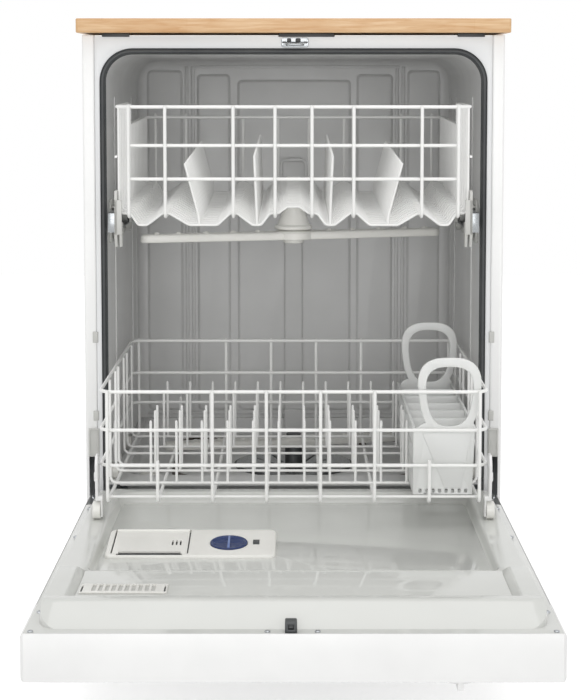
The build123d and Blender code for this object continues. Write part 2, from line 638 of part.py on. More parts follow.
def feed_tube():
    """The water duct up the tub's back wall with its docking nozzle for the upper rack."""
    narrow, wide = 16.0, 23.0
    outline = Polyline((-narrow, LEDGE_HEIGHT), (narrow, LEDGE_HEIGHT), (narrow, 540.0), (wide, 556.0),
                       (wide, 690.0),
                       (-wide, 690.0), (-wide, 556.0), (-narrow, 540.0), close=True)
    face = fillet(make_face(outline).vertices().group_by(Axis.Y)[-1], 18.0)
    duct = across(face, DUCT_FRONT_Y, TUB_DEPTH - RIB_HEIGHT - DUCT_FRONT_Y)
    foot = block((-narrow, narrow), (DUCT_FRONT_Y - 12.0, DUCT_FRONT_Y), (TUB_FLOOR, TRACK_HEIGHT + 16.0))
    nozzle = rod((0, DOCK_FACE_Y, DOCK_Z), (0, DUCT_FRONT_Y, DOCK_Z), 15.0)
    bore = rod((0, DOCK_FACE_Y - 1.0, DOCK_Z), (0, DUCT_FRONT_Y + 4.0, DOCK_Z), 11.0)
    return [fused([duct, foot, nozzle]).cut(bore)]


def spray_arm(radius, z, hub_radius, bore, angle, centre_y):
    """A tapered hollow-looking arm with rounded tips, a hub and nozzle bumps, cut for its spigot."""
    low, high = z
    root, tip = 21.0, 13.0
    outline = polygon((-radius + tip, -tip), (-40.0, -root), (40.0, -root), (radius - tip, -tip),
                      (radius - tip, tip), (40.0, root), (-40.0, root), (-radius + tip, tip))
    tips = [Pos(side * (radius - tip), 0) * Circle(tip) for side in (-1, 1)]
    blade = extrude(outline + tips, amount=high - low)
    blade = chamfer(blade.edges().group_by(Axis.Z)[-1], 3.0)
    blade = Pos(0, 0, low) * blade
    hub = Pos(0, 0, low) * Cylinder(hub_radius, high - low + 3.0,
                                    align=(Align.CENTER, Align.CENTER, Align.MIN))
    bumps = [Pos(side * radius * share, 0, high - 1.0)
             * Cylinder(4.5, 4.0, align=(Align.CENTER, Align.CENTER, Align.MIN))
             for side in (-1, 1) for share in (0.34, 0.52, 0.7, 0.88)]
    hole = Cylinder(bore, 2 * high, align=(Align.CENTER, Align.CENTER, Align.CENTER))
    arm = fused([blade, hub] + bumps) - Pos(0, 0, low) * hole
    return [Pos(0, centre_y) * Rot(0, 0, angle) * arm]


def upper_spray_arm():
    """The arm that turns under the upper rack."""
    return spray_arm(UPPER_ARM_RADIUS, UPPER_ARM_Z, 30.0, SPIGOT_RADIUS + RUNNING_CLEARANCE,
                     UPPER_ARM_ANGLE, UPPER_ARM_CENTRE_Y)


def upper_feed_pipe():
    """The pipe under the upper rack: hub, spigot and nut for the arm, saddles, docking end."""
    seat = UPPER_ARM_Z[1] + 3.0 + CLEARANCE
    hub_top = UPPER_FLOOR_UNDERSIDE + upper_rise(UPPER_ARM_CENTRE_Y)
    hub = Pos(0, UPPER_ARM_CENTRE_Y, seat) * Cylinder(22.0, hub_top - seat,
                                                      align=(Align.CENTER, Align.CENTER, Align.MIN))
    end = DOCK_FACE_Y - 1.0 - UPPER_IN_TRAVEL
    tube = Pos(0, DOCK_Z) * RectangleRounded(26.0, 22.0, 9.0)
    pipe = across(tube, UPPER_ARM_CENTRE_Y, end - UPPER_ARM_CENTRE_Y)
    nut_z = UPPER_ARM_Z[0] - 6.0
    spigot = rod((0, UPPER_ARM_CENTRE_Y, nut_z), (0, UPPER_ARM_CENTRE_Y, seat), SPIGOT_RADIUS)
    nut = rod((0, UPPER_ARM_CENTRE_Y, nut_z), (0, UPPER_ARM_CENTRE_Y, UPPER_ARM_Z[0] - CLEARANCE), 16.0)
    saddles = [block((-30.0, 30.0), (y - 6.0, y + 6.0),
                     (DOCK_Z + 8.0, UPPER_FLOOR_UNDERSIDE + upper_rise(y - 6.0)))
               for y in (160.0, 300.0)]
    return [fused([hub, pipe, spigot, nut] + saddles)]


def lower_spray_arm():
    """The arm that turns over the sump."""
    return spray_arm(LOWER_ARM_RADIUS, LOWER_ARM_Z, 24.0, LOWER_SPIGOT + RUNNING_CLEARANCE, LOWER_ARM_ANGLE,
                     SUMP_CENTRE_Y)


# Door

def door_outer_panel():
    """The white steel door pan, open towards the liner."""
    half = DOOR_WIDTH / 2
    rim = DOOR_TOP - LINER_WALL
    pan = block((-half, half), (PANEL_FRONT, -DOOR_HEEL), (DOOR_UNDERSIDE, rim))
    pan = fillet(pan.edges().filter_by(Axis.Y).group_by(Axis.Z)[0], 4.0)
    inside = block((-half + SHEET, half - SHEET), (PANEL_FRONT - 1.0, -DOOR_HEEL - SHEET),
                   (DOOR_UNDERSIDE + SHEET, rim + 1.0))
    heel_notches = [block(sorted((side * 285.0, side * (half - SHEET))), (-DOOR_HEEL - SHEET - 1.0, 0.0),
                          (DOOR_UNDERSIDE + SHEET, rim + 1.0)) for side in (-1, 1)]
    return [pan.cut(inside, *heel_notches)]


def door_liner():
    """The moulded inner door: flange, raised body with wheel tracks, front rim, ledge and basin."""
    flange_z = DOOR_TOP - LINER_WALL
    half = LINER_FLANGE_WIDTH / 2
    body_half = LINER_BODY_WIDTH / 2
    flange = block((-half, half), (-DOOR_REACH + 3.0, -81.0), (flange_z, DOOR_TOP))
    flange = fillet(flange.edges().filter_by(Axis.Z), 6.0)

    def moulded(inset, low, high, front, rear, lean):
        foot = RectangleRounded(2 * (body_half - inset), front - rear - 2 * inset, 28.0 - inset)
        foot = Pos(0, -(front + rear) / 2) * foot
        top = RectangleRounded(2 * (body_half - inset - 3.0), front - rear - lean - 2 * inset - 4.0,
                               26.0 - inset)
        top = Pos(0, -(front + rear + lean) / 2) * top
        return loft([Pos(0, 0, low) * foot, Pos(0, 0, high) * top])

    tracks = moulded(0.0, flange_z, TRACK_HEIGHT, LINER_BODY_FRONT, LINER_BODY_REAR, 0.0)
    rim = along(polygon((-LINER_BODY_FRONT + 2.0, flange_z), (-LINER_BODY_FRONT + 42.0, LINER_RIM_HEIGHT),
                        (-LINER_BODY_FRONT + 58.0, LINER_RIM_HEIGHT),
                        (-LINER_BODY_FRONT + 66.0, TRACK_HEIGHT - 2.0)),
                -body_half + 3.0, 2 * body_half - 6.0)
    rim = fillet(rim.edges().filter_by(Axis.X).group_by(Axis.Z)[-1], 5.0)
    basin_half = BASIN_WIDTH / 2
    basin = loft([Pos(0, -(BASIN_FRONT + BASIN_REAR) / 2, BASIN_FLOOR)
                  * RectangleRounded(2 * basin_half, BASIN_FRONT - BASIN_REAR, 30.0),
                  Pos(0, -(BASIN_FRONT + BASIN_REAR + 6.0) / 2, LINER_RIM_HEIGHT)
                  * RectangleRounded(2 * basin_half + 6.0, BASIN_FRONT - BASIN_REAR + 22.0, 33.0)])
    ledge = block((-basin_half, basin_half), (-LINER_BODY_FRONT + 64.0, -BASIN_FRONT),
                  (TRACK_HEIGHT - 1.0, LINER_LEDGE))
    under_tracks = moulded(LINER_WALL, flange_z - 2.0, TRACK_HEIGHT - LINER_WALL, LINER_BODY_FRONT,
                           LINER_BODY_REAR, 0.0)
    basin_shell = block((-basin_half - LINER_WALL, basin_half + LINER_WALL),
                        (-BASIN_FRONT - LINER_WALL, -BASIN_REAR + LINER_WALL),
                        (BASIN_FLOOR - LINER_WALL, TRACK_HEIGHT))
    body = fused([flange, tracks, rim, ledge]).cut(under_tracks)
    return [(body + basin_shell).cut(basin)]


def control_console():
    """The white console end of the door, with its handle pocket and the holes for its controls."""
    half = DOOR_WIDTH / 2
    front = -DOOR_REACH
    shell = block((-half, half), (front, PANEL_FRONT), (DOOR_UNDERSIDE, DOOR_TOP + 1.0))
    shell = chamfer(shell.edges().filter_by(Axis.Z).group_by(Axis.Y)[0], 4.0)
    shell = fillet(shell.edges().filter_by(Axis.Y).group_by(Axis.Z)[0], 4.0)
    rebate = block((-half - 1.0, half + 1.0), (front + 2.5, PANEL_FRONT + 1.0),
                   (DOOR_TOP - LINER_WALL, DOOR_TOP + 2.0))
    inside = block((-half + CONSOLE_WALL, half - CONSOLE_WALL), (front + CONSOLE_WALL, PANEL_FRONT + 1.0),
                   (DOOR_UNDERSIDE + CONSOLE_WALL, DOOR_TOP))
    pocket_wall = block((-HANDLE_POCKET - 2.0, HANDLE_POCKET + 2.0), (front + 8.0, front + 60.0),
                        (DOOR_UNDERSIDE, DOOR_UNDERSIDE + 30.0))
    pocket = block((-HANDLE_POCKET, HANDLE_POCKET), (front + 10.0, front + 58.0),
                   (DOOR_UNDERSIDE - 1.0, DOOR_UNDERSIDE + 28.0))
    pocket = fillet(pocket.edges().filter_by(Axis.X).group_by(Axis.Z)[-1], 8.0)
    dial_hole = rod((DIAL_X, CONTROL_Y, 150.0), (DIAL_X, CONTROL_Y, 170.0), DIAL_SHAFT + RUNNING_CLEARANCE)
    button_holes = [rod((x, CONTROL_Y, 150.0), (x, CONTROL_Y, 170.0), BUTTON_RADIUS + 0.1) for x in BUTTON_X]
    body = shell.cut(rebate, inside).fuse(pocket_wall)
    return [body.cut(pocket, dial_hole, *button_holes)]


def cycle_dial():
    """The ribbed cycle knob on the console's outer face, with its shaft."""
    face = DOOR_UNDERSIDE - CLEARANCE
    profile = polygon((0, face - 17.0), (19.0, face - 17.0), (22.0, face - 14.0), (25.0, face),
                      (DIAL_SHAFT, face),
                      (DIAL_SHAFT, face + 14.0), (0, face + 14.0))
    knob = revolve(Plane.XZ * profile, Axis.Z)
    grip = block((-3.5, 3.5), (-21.0, 21.0), (face - 24.0, face - 15.0))
    return [Pos(DIAL_X, CONTROL_Y) * (knob + grip)]


def push_button(x):
    """A round button with its retaining collar behind the console's wall."""
    collar = DOOR_UNDERSIDE + CONSOLE_WALL + CLEARANCE
    foot = DOOR_UNDERSIDE - 2.0 - BUTTON_TRAVEL
    stem = rod((x, CONTROL_Y, foot), (x, CONTROL_Y, collar + 6.0), BUTTON_RADIUS)
    stem = chamfer(stem.edges().group_by(Axis.Z)[0], 1.0)
    return [stem + rod((x, CONTROL_Y, collar), (x, CONTROL_Y, collar + 2.0), BUTTON_RADIUS + 2.5)]


def latch_handle():
    """The finger paddle in the console's pocket, with its pivot stubs at the outer end."""
    y, z = HANDLE_PIVOT
    outline = polygon((y - 2.0, z + 3.0), (y - 2.0, z - 6.0), (y + 20.0, z - 7.5), (y + 23.0, z - 5.0),
                      (y + 23.0, z - 2.0), (y + 6.0, z + 3.0))
    paddle = along(outline, -HANDLE_POCKET + 1.0, 2 * HANDLE_POCKET - 2.0)
    pivot = rod((-HANDLE_POCKET + 0.4, y, z), (HANDLE_POCKET - 0.4, y, z), 3.0)
    return [paddle + pivot]


def door_latch():
    """The dark latch block at the top of the liner, slotted for the strike."""
    body = block((-9.5, 4.0), (-690.0, -676.5), (DOOR_TOP, DOOR_TOP + 14.0))
    slot = block((-6.0, 0.5), (-691.0, -684.0), (DOOR_TOP + 4.0, DOOR_TOP + 10.0))
    return [chamfer(body.edges().group_by(Axis.Z)[-1], 1.0) - slot]


def vent_grille():
    """The slotted vent plate on the liner's front ledge."""
    plate = block((-251.0, -148.0), (-592.0, -556.0), (LINER_LEDGE, LINER_LEDGE + 2.5))
    plate = chamfer(plate.edges().group_by(Axis.Z)[-1], 1.0)
    slots = [block((-237.0 + 7.8 * k, -233.0 + 7.8 * k), (-578.0, -562.0),
                   (LINER_LEDGE + 0.6, LINER_LEDGE + 4.0))
             for k in range(10)]
    return [plate.cut(*slots)]


def door_hinges():
    """The hinge covers, pivot plates, pins and the two door arms with their spring levers."""
    outline = polygon((-170.0, HINGE_Z - 22.0), (20.0, HINGE_Z - 6.0), (30.0, HINGE_Z + 50.0),
                      (18.0, HINGE_Z + 50.0),
                      (2.0, HINGE_Z + 8.0), (-60.0, HINGE_Z + 6.0), (-170.0, HINGE_Z - 2.0))
    arm = along(outline, 299.8, 3.0)
    bore = rod((290.0, HINGE_Y, HINGE_Z), (310.0, HINGE_Y, HINGE_Z), HINGE_PIN_RADIUS + RUNNING_CLEARANCE)
    pin = rod((294.5, HINGE_Y, HINGE_Z), (302.6, HINGE_Y, HINGE_Z), HINGE_PIN_RADIUS)
    return both_sides(hinge_brackets() + [arm - bore, pin])


def door_springs():
    """The two door balance springs, shown as closed coils, with their hooks."""
    pieces = []
    coil = rod((SPRING_X, SPRING_Y[0], SPRING_Z), (SPRING_X, SPRING_Y[1], SPRING_Z), 8.0)
    front = rod((SPRING_X, 26.0, SPRING_Z), (SPRING_X, SPRING_Y[0], SPRING_Z), 1.8)
    catch = rod((SPRING_X, 26.0, SPRING_Z), (299.7, 26.0, SPRING_Z), 1.8)
    rear = rod((SPRING_X, SPRING_Y[1], SPRING_Z), (SPRING_X, SPRING_Y[1] + 14.0, SPRING_Z), 1.8)
    pieces.append(fused([coil, front, catch, rear]))
    return both_sides(pieces)


# Dispenser

def dispenser_slope():
    """The plane of the dispenser's sloping top, its origin at the lid's hinge line."""
    rise = DISPENSER_REAR_HEIGHT - DISPENSER_FRONT_HEIGHT
    run = LID_Y[1] - LID_Y[0]
    return math.degrees(math.atan2(rise, run))


def on_slope(shape):
    """A shape drawn flat with z = 0 on the dispenser's top, turned onto the slope."""
    hinge_z = BASIN_FLOOR + DISPENSER_REAR_HEIGHT
    return Pos(0, LID_Y[1], hinge_z) * Rot(dispenser_slope(), 0, 0) * Pos(0, -LID_Y[1], 0) * shape


def dispenser_housing():
    """The moulded dispenser: sloping top, lid seat, detergent cup, cap seat and window."""
    rear_z = BASIN_FLOOR + DISPENSER_REAR_HEIGHT
    front_z = BASIN_FLOOR + DISPENSER_FRONT_HEIGHT
    profile = polygon((DISPENSER_Y[1], BASIN_FLOOR), (DISPENSER_Y[1], rear_z - 2.0), (LID_Y[1], rear_z),
                      (LID_Y[0], front_z), (DISPENSER_Y[0] + 1.0, front_z - 4.0),
                      (DISPENSER_Y[0], BASIN_FLOOR))
    body = along(profile, DISPENSER_X[0], DISPENSER_X[1] - DISPENSER_X[0])
    body = fillet(body.edges().filter_by(Axis.Z), 8.0)
    gap = 0.6
    seat = on_slope(block((LID_X[0] - gap, LID_X[1] + gap), (LID_Y[0] - 3.0, LID_Y[1] + 3.5),
                          (-LID_THICKNESS - CLEARANCE, 6.0)))
    knuckle_seat = rod((LID_X[0] - gap, LID_Y[1], rear_z - 1.0), (LID_X[1] + gap, LID_Y[1], rear_z - 1.0),
                       3.2)
    cup = block((LID_X[0] + 6.0, LID_X[1] - 6.0), (LID_Y[0] + 6.0, LID_Y[1] - 6.0),
                (BASIN_FLOOR + 2.0, rear_z))
    cap_x, cap_y = CAP_CENTRE
    cap_seat = on_slope(Pos(cap_x, cap_y, 2.0) * Cylinder(CAP_RADIUS + 0.7, 8.0))
    window = on_slope(Pos(-49.0, cap_y, 0.0) * Cylinder(3.0, 2.0))
    return [body.cut(seat, knuckle_seat, cup, cap_seat, window)]


def detergent_lid():
    """The detergent lid on its knuckle, with three short slots."""
    lid = block((LID_X[0], LID_X[1]), (LID_Y[0], LID_Y[1] - 1.0), (-LID_THICKNESS, 0.0))
    slots = [block((x, x + 1.6), (-332.0, -322.0), (-1.2, 1.0)) for x in (-166.0, -160.0, -154.0)]
    knuckle_z = BASIN_FLOOR + DISPENSER_REAR_HEIGHT - 1.0
    knuckle = rod((LID_X[0], LID_Y[1], knuckle_z), (LID_X[1], LID_Y[1], knuckle_z), 2.6)
    return [on_slope(lid.cut(*slots)) + knuckle]


def rinse_cap():
    """The round rinse aid cap with its finger bar."""
    cap_x, cap_y = CAP_CENTRE
    disc = Pos(cap_x, cap_y, 0.0) * Cylinder(CAP_RADIUS, 3.4)
    hollow = Pos(cap_x, cap_y, 2.5) * Cylinder(CAP_RADIUS - 4.0, 3.4)
    bar = block((cap_x - 2.0, cap_x + 2.0), (cap_y - CAP_RADIUS + 3.0, cap_y + CAP_RADIUS - 3.0), (0.0, 3.0))
    return [on_slope((disc - hollow) + bar)]


# Racks

def even_places(first, last, count):
    """Evenly spaced values from first to last."""
    return [first + (last - first) * k / (count - 1) for k in range(count)]


def upper_wire_places():
    """Where the upper rack's cross wires lie, from front to rear."""
    return even_places(UPPER_FIRST_WIRE, UPPER_LAST_WIRE, UPPER_CROSS_WIRES)


def upper_rise(y):
    """How far the upper rack's floor has risen at a place behind its first wire."""
    return UPPER_RISE * (y - UPPER_FIRST_WIRE) / (UPPER_LAST_WIRE - UPPER_FIRST_WIRE)


def upper_wave():
    """The line of the upper rack's floor wires, from side to side, at the first wire."""
    half = [(0.0, UPPER_HUMP), (8.0, UPPER_HUMP), (20.0, UPPER_PEAK), (32.0, UPPER_PEAK),
            (45.0, UPPER_VALLEY),
            (59.0, UPPER_VALLEY), (78.0, UPPER_PEAK), (92.0, UPPER_PEAK), (105.0, UPPER_VALLEY),
            (151.0, UPPER_VALLEY), (175.0, UPPER_PEAK), (187.0, UPPER_PEAK), (212.0, UPPER_VALLEY),
            (219.0, UPPER_VALLEY), (228.0, UPPER_PEAK)]
    foot = bent([half[-1], (UPPER_SIDE_X, UPPER_PEAK), (UPPER_SIDE_X, UPPER_SIDE_FOOT)], 6.0)
    half += foot[1:]
    return [(-x, z) for x, z in reversed(half[1:])] + half[1:]


def upper_rail_line():
    """The side rail's line in (y, z): tall over the front half, then stepped down."""
    bend = FRAME_WIRE * 1.5 + CORNER_BEND
    first, last = UPPER_FRONT + bend, UPPER_REAR - bend
    return [(first, UPPER_TOP_FRONT), (first + 10.0, UPPER_TOP_FRONT), (UPPER_STEP_Y, UPPER_TOP_STEP),
            (UPPER_STEP_Y + 3.0, UPPER_LOW_STEP), (last - 10.0, UPPER_TOP_REAR), (last, UPPER_TOP_REAR)]


def height_on(line, y):
    """The height of a line of (y, z) points at a place, and at its ends beyond them."""
    for (y0, z0), (y1, z1) in zip(line, line[1:]):
        if y0 <= y <= y1:
            return z0 + (z1 - z0) * (y - y0) / (y1 - y0)
    return line[0][1] if y < line[0][0] else line[-1][1]


def corner_bends(face_y, inward, top_z, half):
    """The two rounded corners where a rack's end wire turns into its side rails."""
    behind = face_y + inward * FRAME_WIRE * 1.5
    path = bent([(half - CORNER_BEND, behind), (half, behind), (half, behind + inward * CORNER_BEND)],
                CORNER_BEND - 0.01)
    return both_sides([raised(ribbon(path, FRAME_WIRE), top_z - FRAME_WIRE / 2, FRAME_WIRE)])


def end_grid(face_y, inward, top_z, half, uprights, rails, low_z):
    """A rack's front or rear grid: top wire, straight rails and uprights turned in at the foot."""
    rail_y = sorted((face_y + inward * FRAME_WIRE, face_y + inward * 2 * FRAME_WIRE))
    wires = [block((CORNER_BEND - half, half - CORNER_BEND), rail_y,
                   (top_z - FRAME_WIRE / 2, top_z + FRAME_WIRE / 2))]
    for z, reach in rails:
        wires.append(block((-reach, reach), rail_y, (z - FRAME_WIRE / 2, z + FRAME_WIRE / 2)))
    middle = face_y + inward * FRAME_WIRE / 2
    foot_z = low_z + FRAME_WIRE / 2
    for x, high in uprights:
        upright = bent([(middle, high), (middle, foot_z), (face_y + inward * 14.0, foot_z)], 8.0)
        wires += [along(ribbon(upright, FRAME_WIRE), side * x - FRAME_WIRE / 2, FRAME_WIRE)
                  for side in (-1, 1)]
    return fused(wires)


def upper_side():
    """The right side of the upper rack: upright wires, the stepped top rail and the outer rail."""
    line = upper_rail_line()
    rail = along(ribbon(bent(line, 4.0), FRAME_WIRE), UPPER_HALF - FRAME_WIRE / 2, FRAME_WIRE)
    outer = UPPER_SIDE_X + FILL_WIRE / 2 - 0.2
    guard = block((outer, outer + FILL_WIRE), (UPPER_FRONT + 2 * FRAME_WIRE, UPPER_REAR - 2 * FRAME_WIRE),
                  (UPPER_SIDE_RAIL - FILL_WIRE / 2, UPPER_SIDE_RAIL + FILL_WIRE / 2))
    wires = [rail, guard]
    for y in upper_wire_places():
        top = height_on(line, y)
        if y < line[0][0] or y > line[-1][0]:
            top -= FRAME_WIRE / 2
        wires.append(block((UPPER_SIDE_X - FILL_WIRE / 2, UPPER_SIDE_X + FILL_WIRE / 2),
                           (y - FILL_WIRE / 2, y + FILL_WIRE / 2), (UPPER_SIDE_FOOT + upper_rise(y), top)))
    return fused(wires)


def upper_floor():
    """The upper rack's wavy floor on its lengthwise wires: the middle, a side part and a side foot."""
    wave = ribbon(upper_wave(), FILL_WIRE)
    wires = [Pos(0, 0, upper_rise(y)) * across(wave, y - FILL_WIRE / 2, FILL_WIRE)
             for y in upper_wire_places()]
    low, high = UPPER_FLOOR_UNDERSIDE, UPPER_FLOOR_UNDERSIDE + FRAME_WIRE + 0.1
    face = polygon((UPPER_FIRST_WIRE, low), (UPPER_LAST_WIRE, low + UPPER_RISE),
                   (UPPER_LAST_WIRE, high + UPPER_RISE), (UPPER_FIRST_WIRE, high))
    wires += [along(face, side * x - FRAME_WIRE / 2, FRAME_WIRE) for x in UPPER_UPRIGHTS for side in (-1, 1)]
    whole = fused(wires)
    seams = (-UPPER_FLOOR_SEAM, UPPER_FLOOR_SEAM, UPPER_FOOT_SEAM, UPPER_HALF)
    return [whole & block(part, (UPPER_FRONT, UPPER_REAR), (UPPER_VALLEY - 20.0, UPPER_RAILS_Z[0]))
            for part in zip(seams, seams[1:])]


def upper_rack_basket():
    """The upper rack's welded panels: front, rear, two sides and the wavy floor in three widths."""
    reach = UPPER_UPRIGHTS[-1] + FRAME_WIRE / 2
    front = end_grid(UPPER_FRONT, 1, UPPER_TOP_FRONT, UPPER_HALF,
                     [(x, UPPER_TOP_FRONT + 2.0) for x in UPPER_UPRIGHTS],
                     [(z, reach) for z in UPPER_RAILS_Z], UPPER_FLOOR_UNDERSIDE)
    inner, outer = UPPER_UPRIGHTS[:2], UPPER_UPRIGHTS[2:]
    rear = end_grid(UPPER_REAR, -1, UPPER_TOP_REAR, UPPER_HALF,
                    [(x, UPPER_TOP_REAR + 2.0) for x in inner] + [(x, UPPER_TOP_REAR + 6.0) for x in outer],
                    [], UPPER_FLOOR_UNDERSIDE + UPPER_RISE)
    corners = corner_bends(UPPER_FRONT, 1, UPPER_TOP_FRONT, UPPER_HALF)
    corners += corner_bends(UPPER_REAR, -1, UPPER_TOP_REAR, UPPER_HALF)
    middle, right, foot = upper_floor()
    return [front, rear, middle] + both_sides([right, fused([upper_side(), foot])]) + corners


def tine(x, y, low, high, lean):
    """One tine standing on a cross wire, leaning sideways by the given amount at its top."""
    half = FILL_WIRE / 2
    face = polygon((x - half, low), (x + half, low), (x + half + lean, high - 2.0), (x + lean, high),
                   (x - half + lean, high - 2.0))
    return across(face, y - half, FILL_WIRE)


def upper_rack_tines():
    """Four rows of tines in the floor's valleys, the outer rows leaning outwards."""
    pieces = []
    for x, lean, height in UPPER_TINES:
        for y in upper_wire_places()[:-1]:
            base = UPPER_VALLEY + FILL_WIRE / 2 + upper_rise(y)
            pieces.append(tine(x, y, base, base + height, lean))
    return both_sides(pieces)


def lower_side():
    """The right side of the lower rack: U wires rising to the top rail, with two lower rails."""
    ends = (LOWER_FRONT + 2 * FRAME_WIRE, LOWER_REAR - 2 * FRAME_WIRE)
    bend = FRAME_WIRE * 1.5 + CORNER_BEND
    wires = [block((LOWER_HALF - FRAME_WIRE / 2, LOWER_HALF + FRAME_WIRE / 2),
                   (LOWER_FRONT + bend, LOWER_REAR - bend),
                   (LOWER_TOP - FRAME_WIRE / 2, LOWER_TOP + FRAME_WIRE / 2))]
    wires += [block((LOWER_HALF - FRAME_WIRE / 2, LOWER_HALF + FRAME_WIRE / 2), ends,
                    (z - FRAME_WIRE / 2, z + FRAME_WIRE / 2)) for z in LOWER_RAILS_Z]
    centre_z = LOWER_CROSS_Z + FILL_WIRE / 2
    path = bent([(LOWER_SIDE_FLAT, centre_z), (LOWER_HALF, centre_z), (LOWER_HALF, LOWER_TOP)],
                LOWER_BEND - 0.01)
    wires += [across(ribbon(path, FILL_WIRE), y - FILL_WIRE / 2, FILL_WIRE) for y in LOWER_CROSS_Y]
    return fused(wires)


def lower_rack_basket():
    """The lower rack's welded panels: front, rear, two sides and the floor."""
    tall = LOWER_TOP + 3.0
    uprights = [(37.0, tall), (111.0, tall), (257.5, tall), (186.0, 305.0)]
    front = end_grid(LOWER_FRONT, 1, LOWER_TOP, LOWER_HALF, uprights,
                     [(z, LOWER_HALF + FRAME_WIRE / 2) for z in LOWER_RAILS_Z], LOWER_FLOOR)
    rear = end_grid(LOWER_REAR, -1, LOWER_TOP, LOWER_HALF, uprights,
                    [(z, LOWER_HALF + FRAME_WIRE / 2) for z in LOWER_RAILS_Z], LOWER_FLOOR)
    corners = corner_bends(LOWER_FRONT, 1, LOWER_TOP, LOWER_HALF)
    corners += corner_bends(LOWER_REAR, -1, LOWER_TOP, LOWER_HALF)
    floor = [block((-LOWER_SIDE_FLAT, LOWER_SIDE_FLAT), (y - FILL_WIRE / 2, y + FILL_WIRE / 2),
                   (LOWER_CROSS_Z, TINE_BASE)) for y in LOWER_CROSS_Y + LOWER_BAR_Y]
    floor += [block((side * x - FRAME_WIRE / 2, side * x + FRAME_WIRE / 2),
                    (LOWER_FRONT + 14.0, LOWER_REAR - 14.0),
                    (LOWER_FLOOR, LOWER_CROSS_Z)) for x in LOWER_LONG_X for side in (-1, 1)]
    return [front, rear, fused(floor)] + both_sides([lower_side()]) + corners


def lower_rack_tines():
    """The tine field: columns across the rack, each tine on a cross wire."""
    rows = [LOWER_CROSS_Y[k] for k in (0, 1, 2, 4, 5)]
    return [tine(TINE_FIRST_X + TINE_PITCH * column, y, TINE_BASE, TINE_BASE + TINE_HEIGHT, 0.0)
            for column in range(TINE_COLUMNS) for y in rows]


def upper_roller_carriers():
    """Moulded carriers clipped to the upper rack's sides, with the roller stub axles."""
    face = UPPER_SIDE_X + FILL_WIRE / 2 + 0.1
    pieces = []
    for y in RACK_ROLLER_Y:
        plate = along(polygon((y - 11.0, RACK_ROLLER_Z - 11.0), (y + 11.0, RACK_ROLLER_Z - 11.0),
                              (y + 11.0, RACK_ROLLER_Z + 11.0), (y + 18.0, 652.0), (y + 18.0, 670.0),
                              (y - 18.0, 670.0), (y - 18.0, 652.0),
                              (y - 11.0, RACK_ROLLER_Z + 11.0)), 250.0, 3.6)
        hook = block((face, 250.0), (y - 18.0, y + 18.0), (652.0, 670.0))
        axle = rod((253.6, y, RACK_ROLLER_Z), (266.0, y, RACK_ROLLER_Z), ROLLER_AXLE)
        pieces.append(fused([plate, hook, axle]))
    y = UPPER_FIRST_WIRE
    guide = along(polygon((y - 13.5, 668.0), (y + 15.0, 668.0), (y + 15.0, 606.0), (y + 7.0, 588.0),
                          (y - 7.0, 588.0), (y - 13.5, 606.0)), face, 3.8)
    prong = along(polygon((y - 10.0, 622.0), (y + 10.0, 622.0), (y + 10.0, 604.0), (y + 5.0, 588.0),
                          (y - 5.0, 588.0), (y - 10.0, 604.0)), 242.6, 3.6)
    bridge = block((242.6, face), (y - 10.0, y + 10.0), (614.0, 622.0))
    pieces.append(fused([guide, prong, bridge]))
    return both_sides(pieces)


def slide_rails():
    """The two channel rails that the upper rack's rollers run in."""
    middle = RAIL_WALL / 2
    inner = RAIL_OUTER - RAIL_DEPTH
    path = [(inner, RAIL_BOTTOM + middle), (RAIL_OUTER - middle, RAIL_BOTTOM + middle),
            (RAIL_OUTER - middle, RAIL_BOTTOM + RAIL_HEIGHT - middle),
            (inner, RAIL_BOTTOM + RAIL_HEIGHT - middle)]
    rail = across(ribbon(path, RAIL_WALL), RAIL_FRONT, RAIL_LENGTH)
    stops = [block((inner, RAIL_OUTER), (y, y + 3.0), (RAIL_BOTTOM, RAIL_BOTTOM + RAIL_HEIGHT))
             for y in (RAIL_FRONT - 3.0, RAIL_FRONT + RAIL_LENGTH)]
    return both_sides([fused([rail] + stops)])


def roller_brackets():
    """The tub's roller brackets: a plate on the wall, the axle and a guide over the rail."""
    pieces = []
    for y in TUB_ROLLER_Y:
        plate = block((273.0, OPENING_HALF), (y - 24.0, y + 24.0), (580.0, 645.0))
        pieces.append(fillet(plate.edges().filter_by(Axis.X), 8.0))
        pieces.append(rod((262.5, y, TUB_ROLLER_Z), (273.0, y, TUB_ROLLER_Z), ROLLER_AXLE))
        pieces.append(block((262.0, 273.0), (y - 18.0, y + 18.0),
                            (RAIL_BOTTOM + RAIL_HEIGHT + 0.6, RAIL_BOTTOM + RAIL_HEIGHT + 4.0)))
    return both_sides(pieces)


def wheel(x, y, z, radius, bore, groove):
    """A moulded wheel on an axle along x, with a hub and a shallow dished face."""
    width = x[1] - x[0]
    rim = radius * 0.78
    hub = bore + 2.2
    profile = polygon((bore, 0), (hub, 0), (hub, groove), (rim, groove), (rim, 0), (radius - 0.8, 0),
                      (radius, 0.8),
                      (radius, width - 0.8), (radius - 0.8, width), (bore, width))
    body = revolve(Plane.XZ * profile, Axis.Z)
    return Pos(x[0], y, z) * Rot(0, 90, 0) * body


def tub_rollers(y):
    """A coaxial pair of rollers under the rails."""
    return both_sides([wheel((263.0, 271.5), y, TUB_ROLLER_Z, TUB_ROLLER_RADIUS,
                             ROLLER_AXLE + RUNNING_CLEARANCE, 1.2)])


def rack_rollers(y):
    """A coaxial pair of rollers inside the rails."""
    return both_sides([wheel((257.0, 265.5), y, RACK_ROLLER_Z, RACK_ROLLER_RADIUS,
                             ROLLER_AXLE + RUNNING_CLEARANCE, 1.2)])


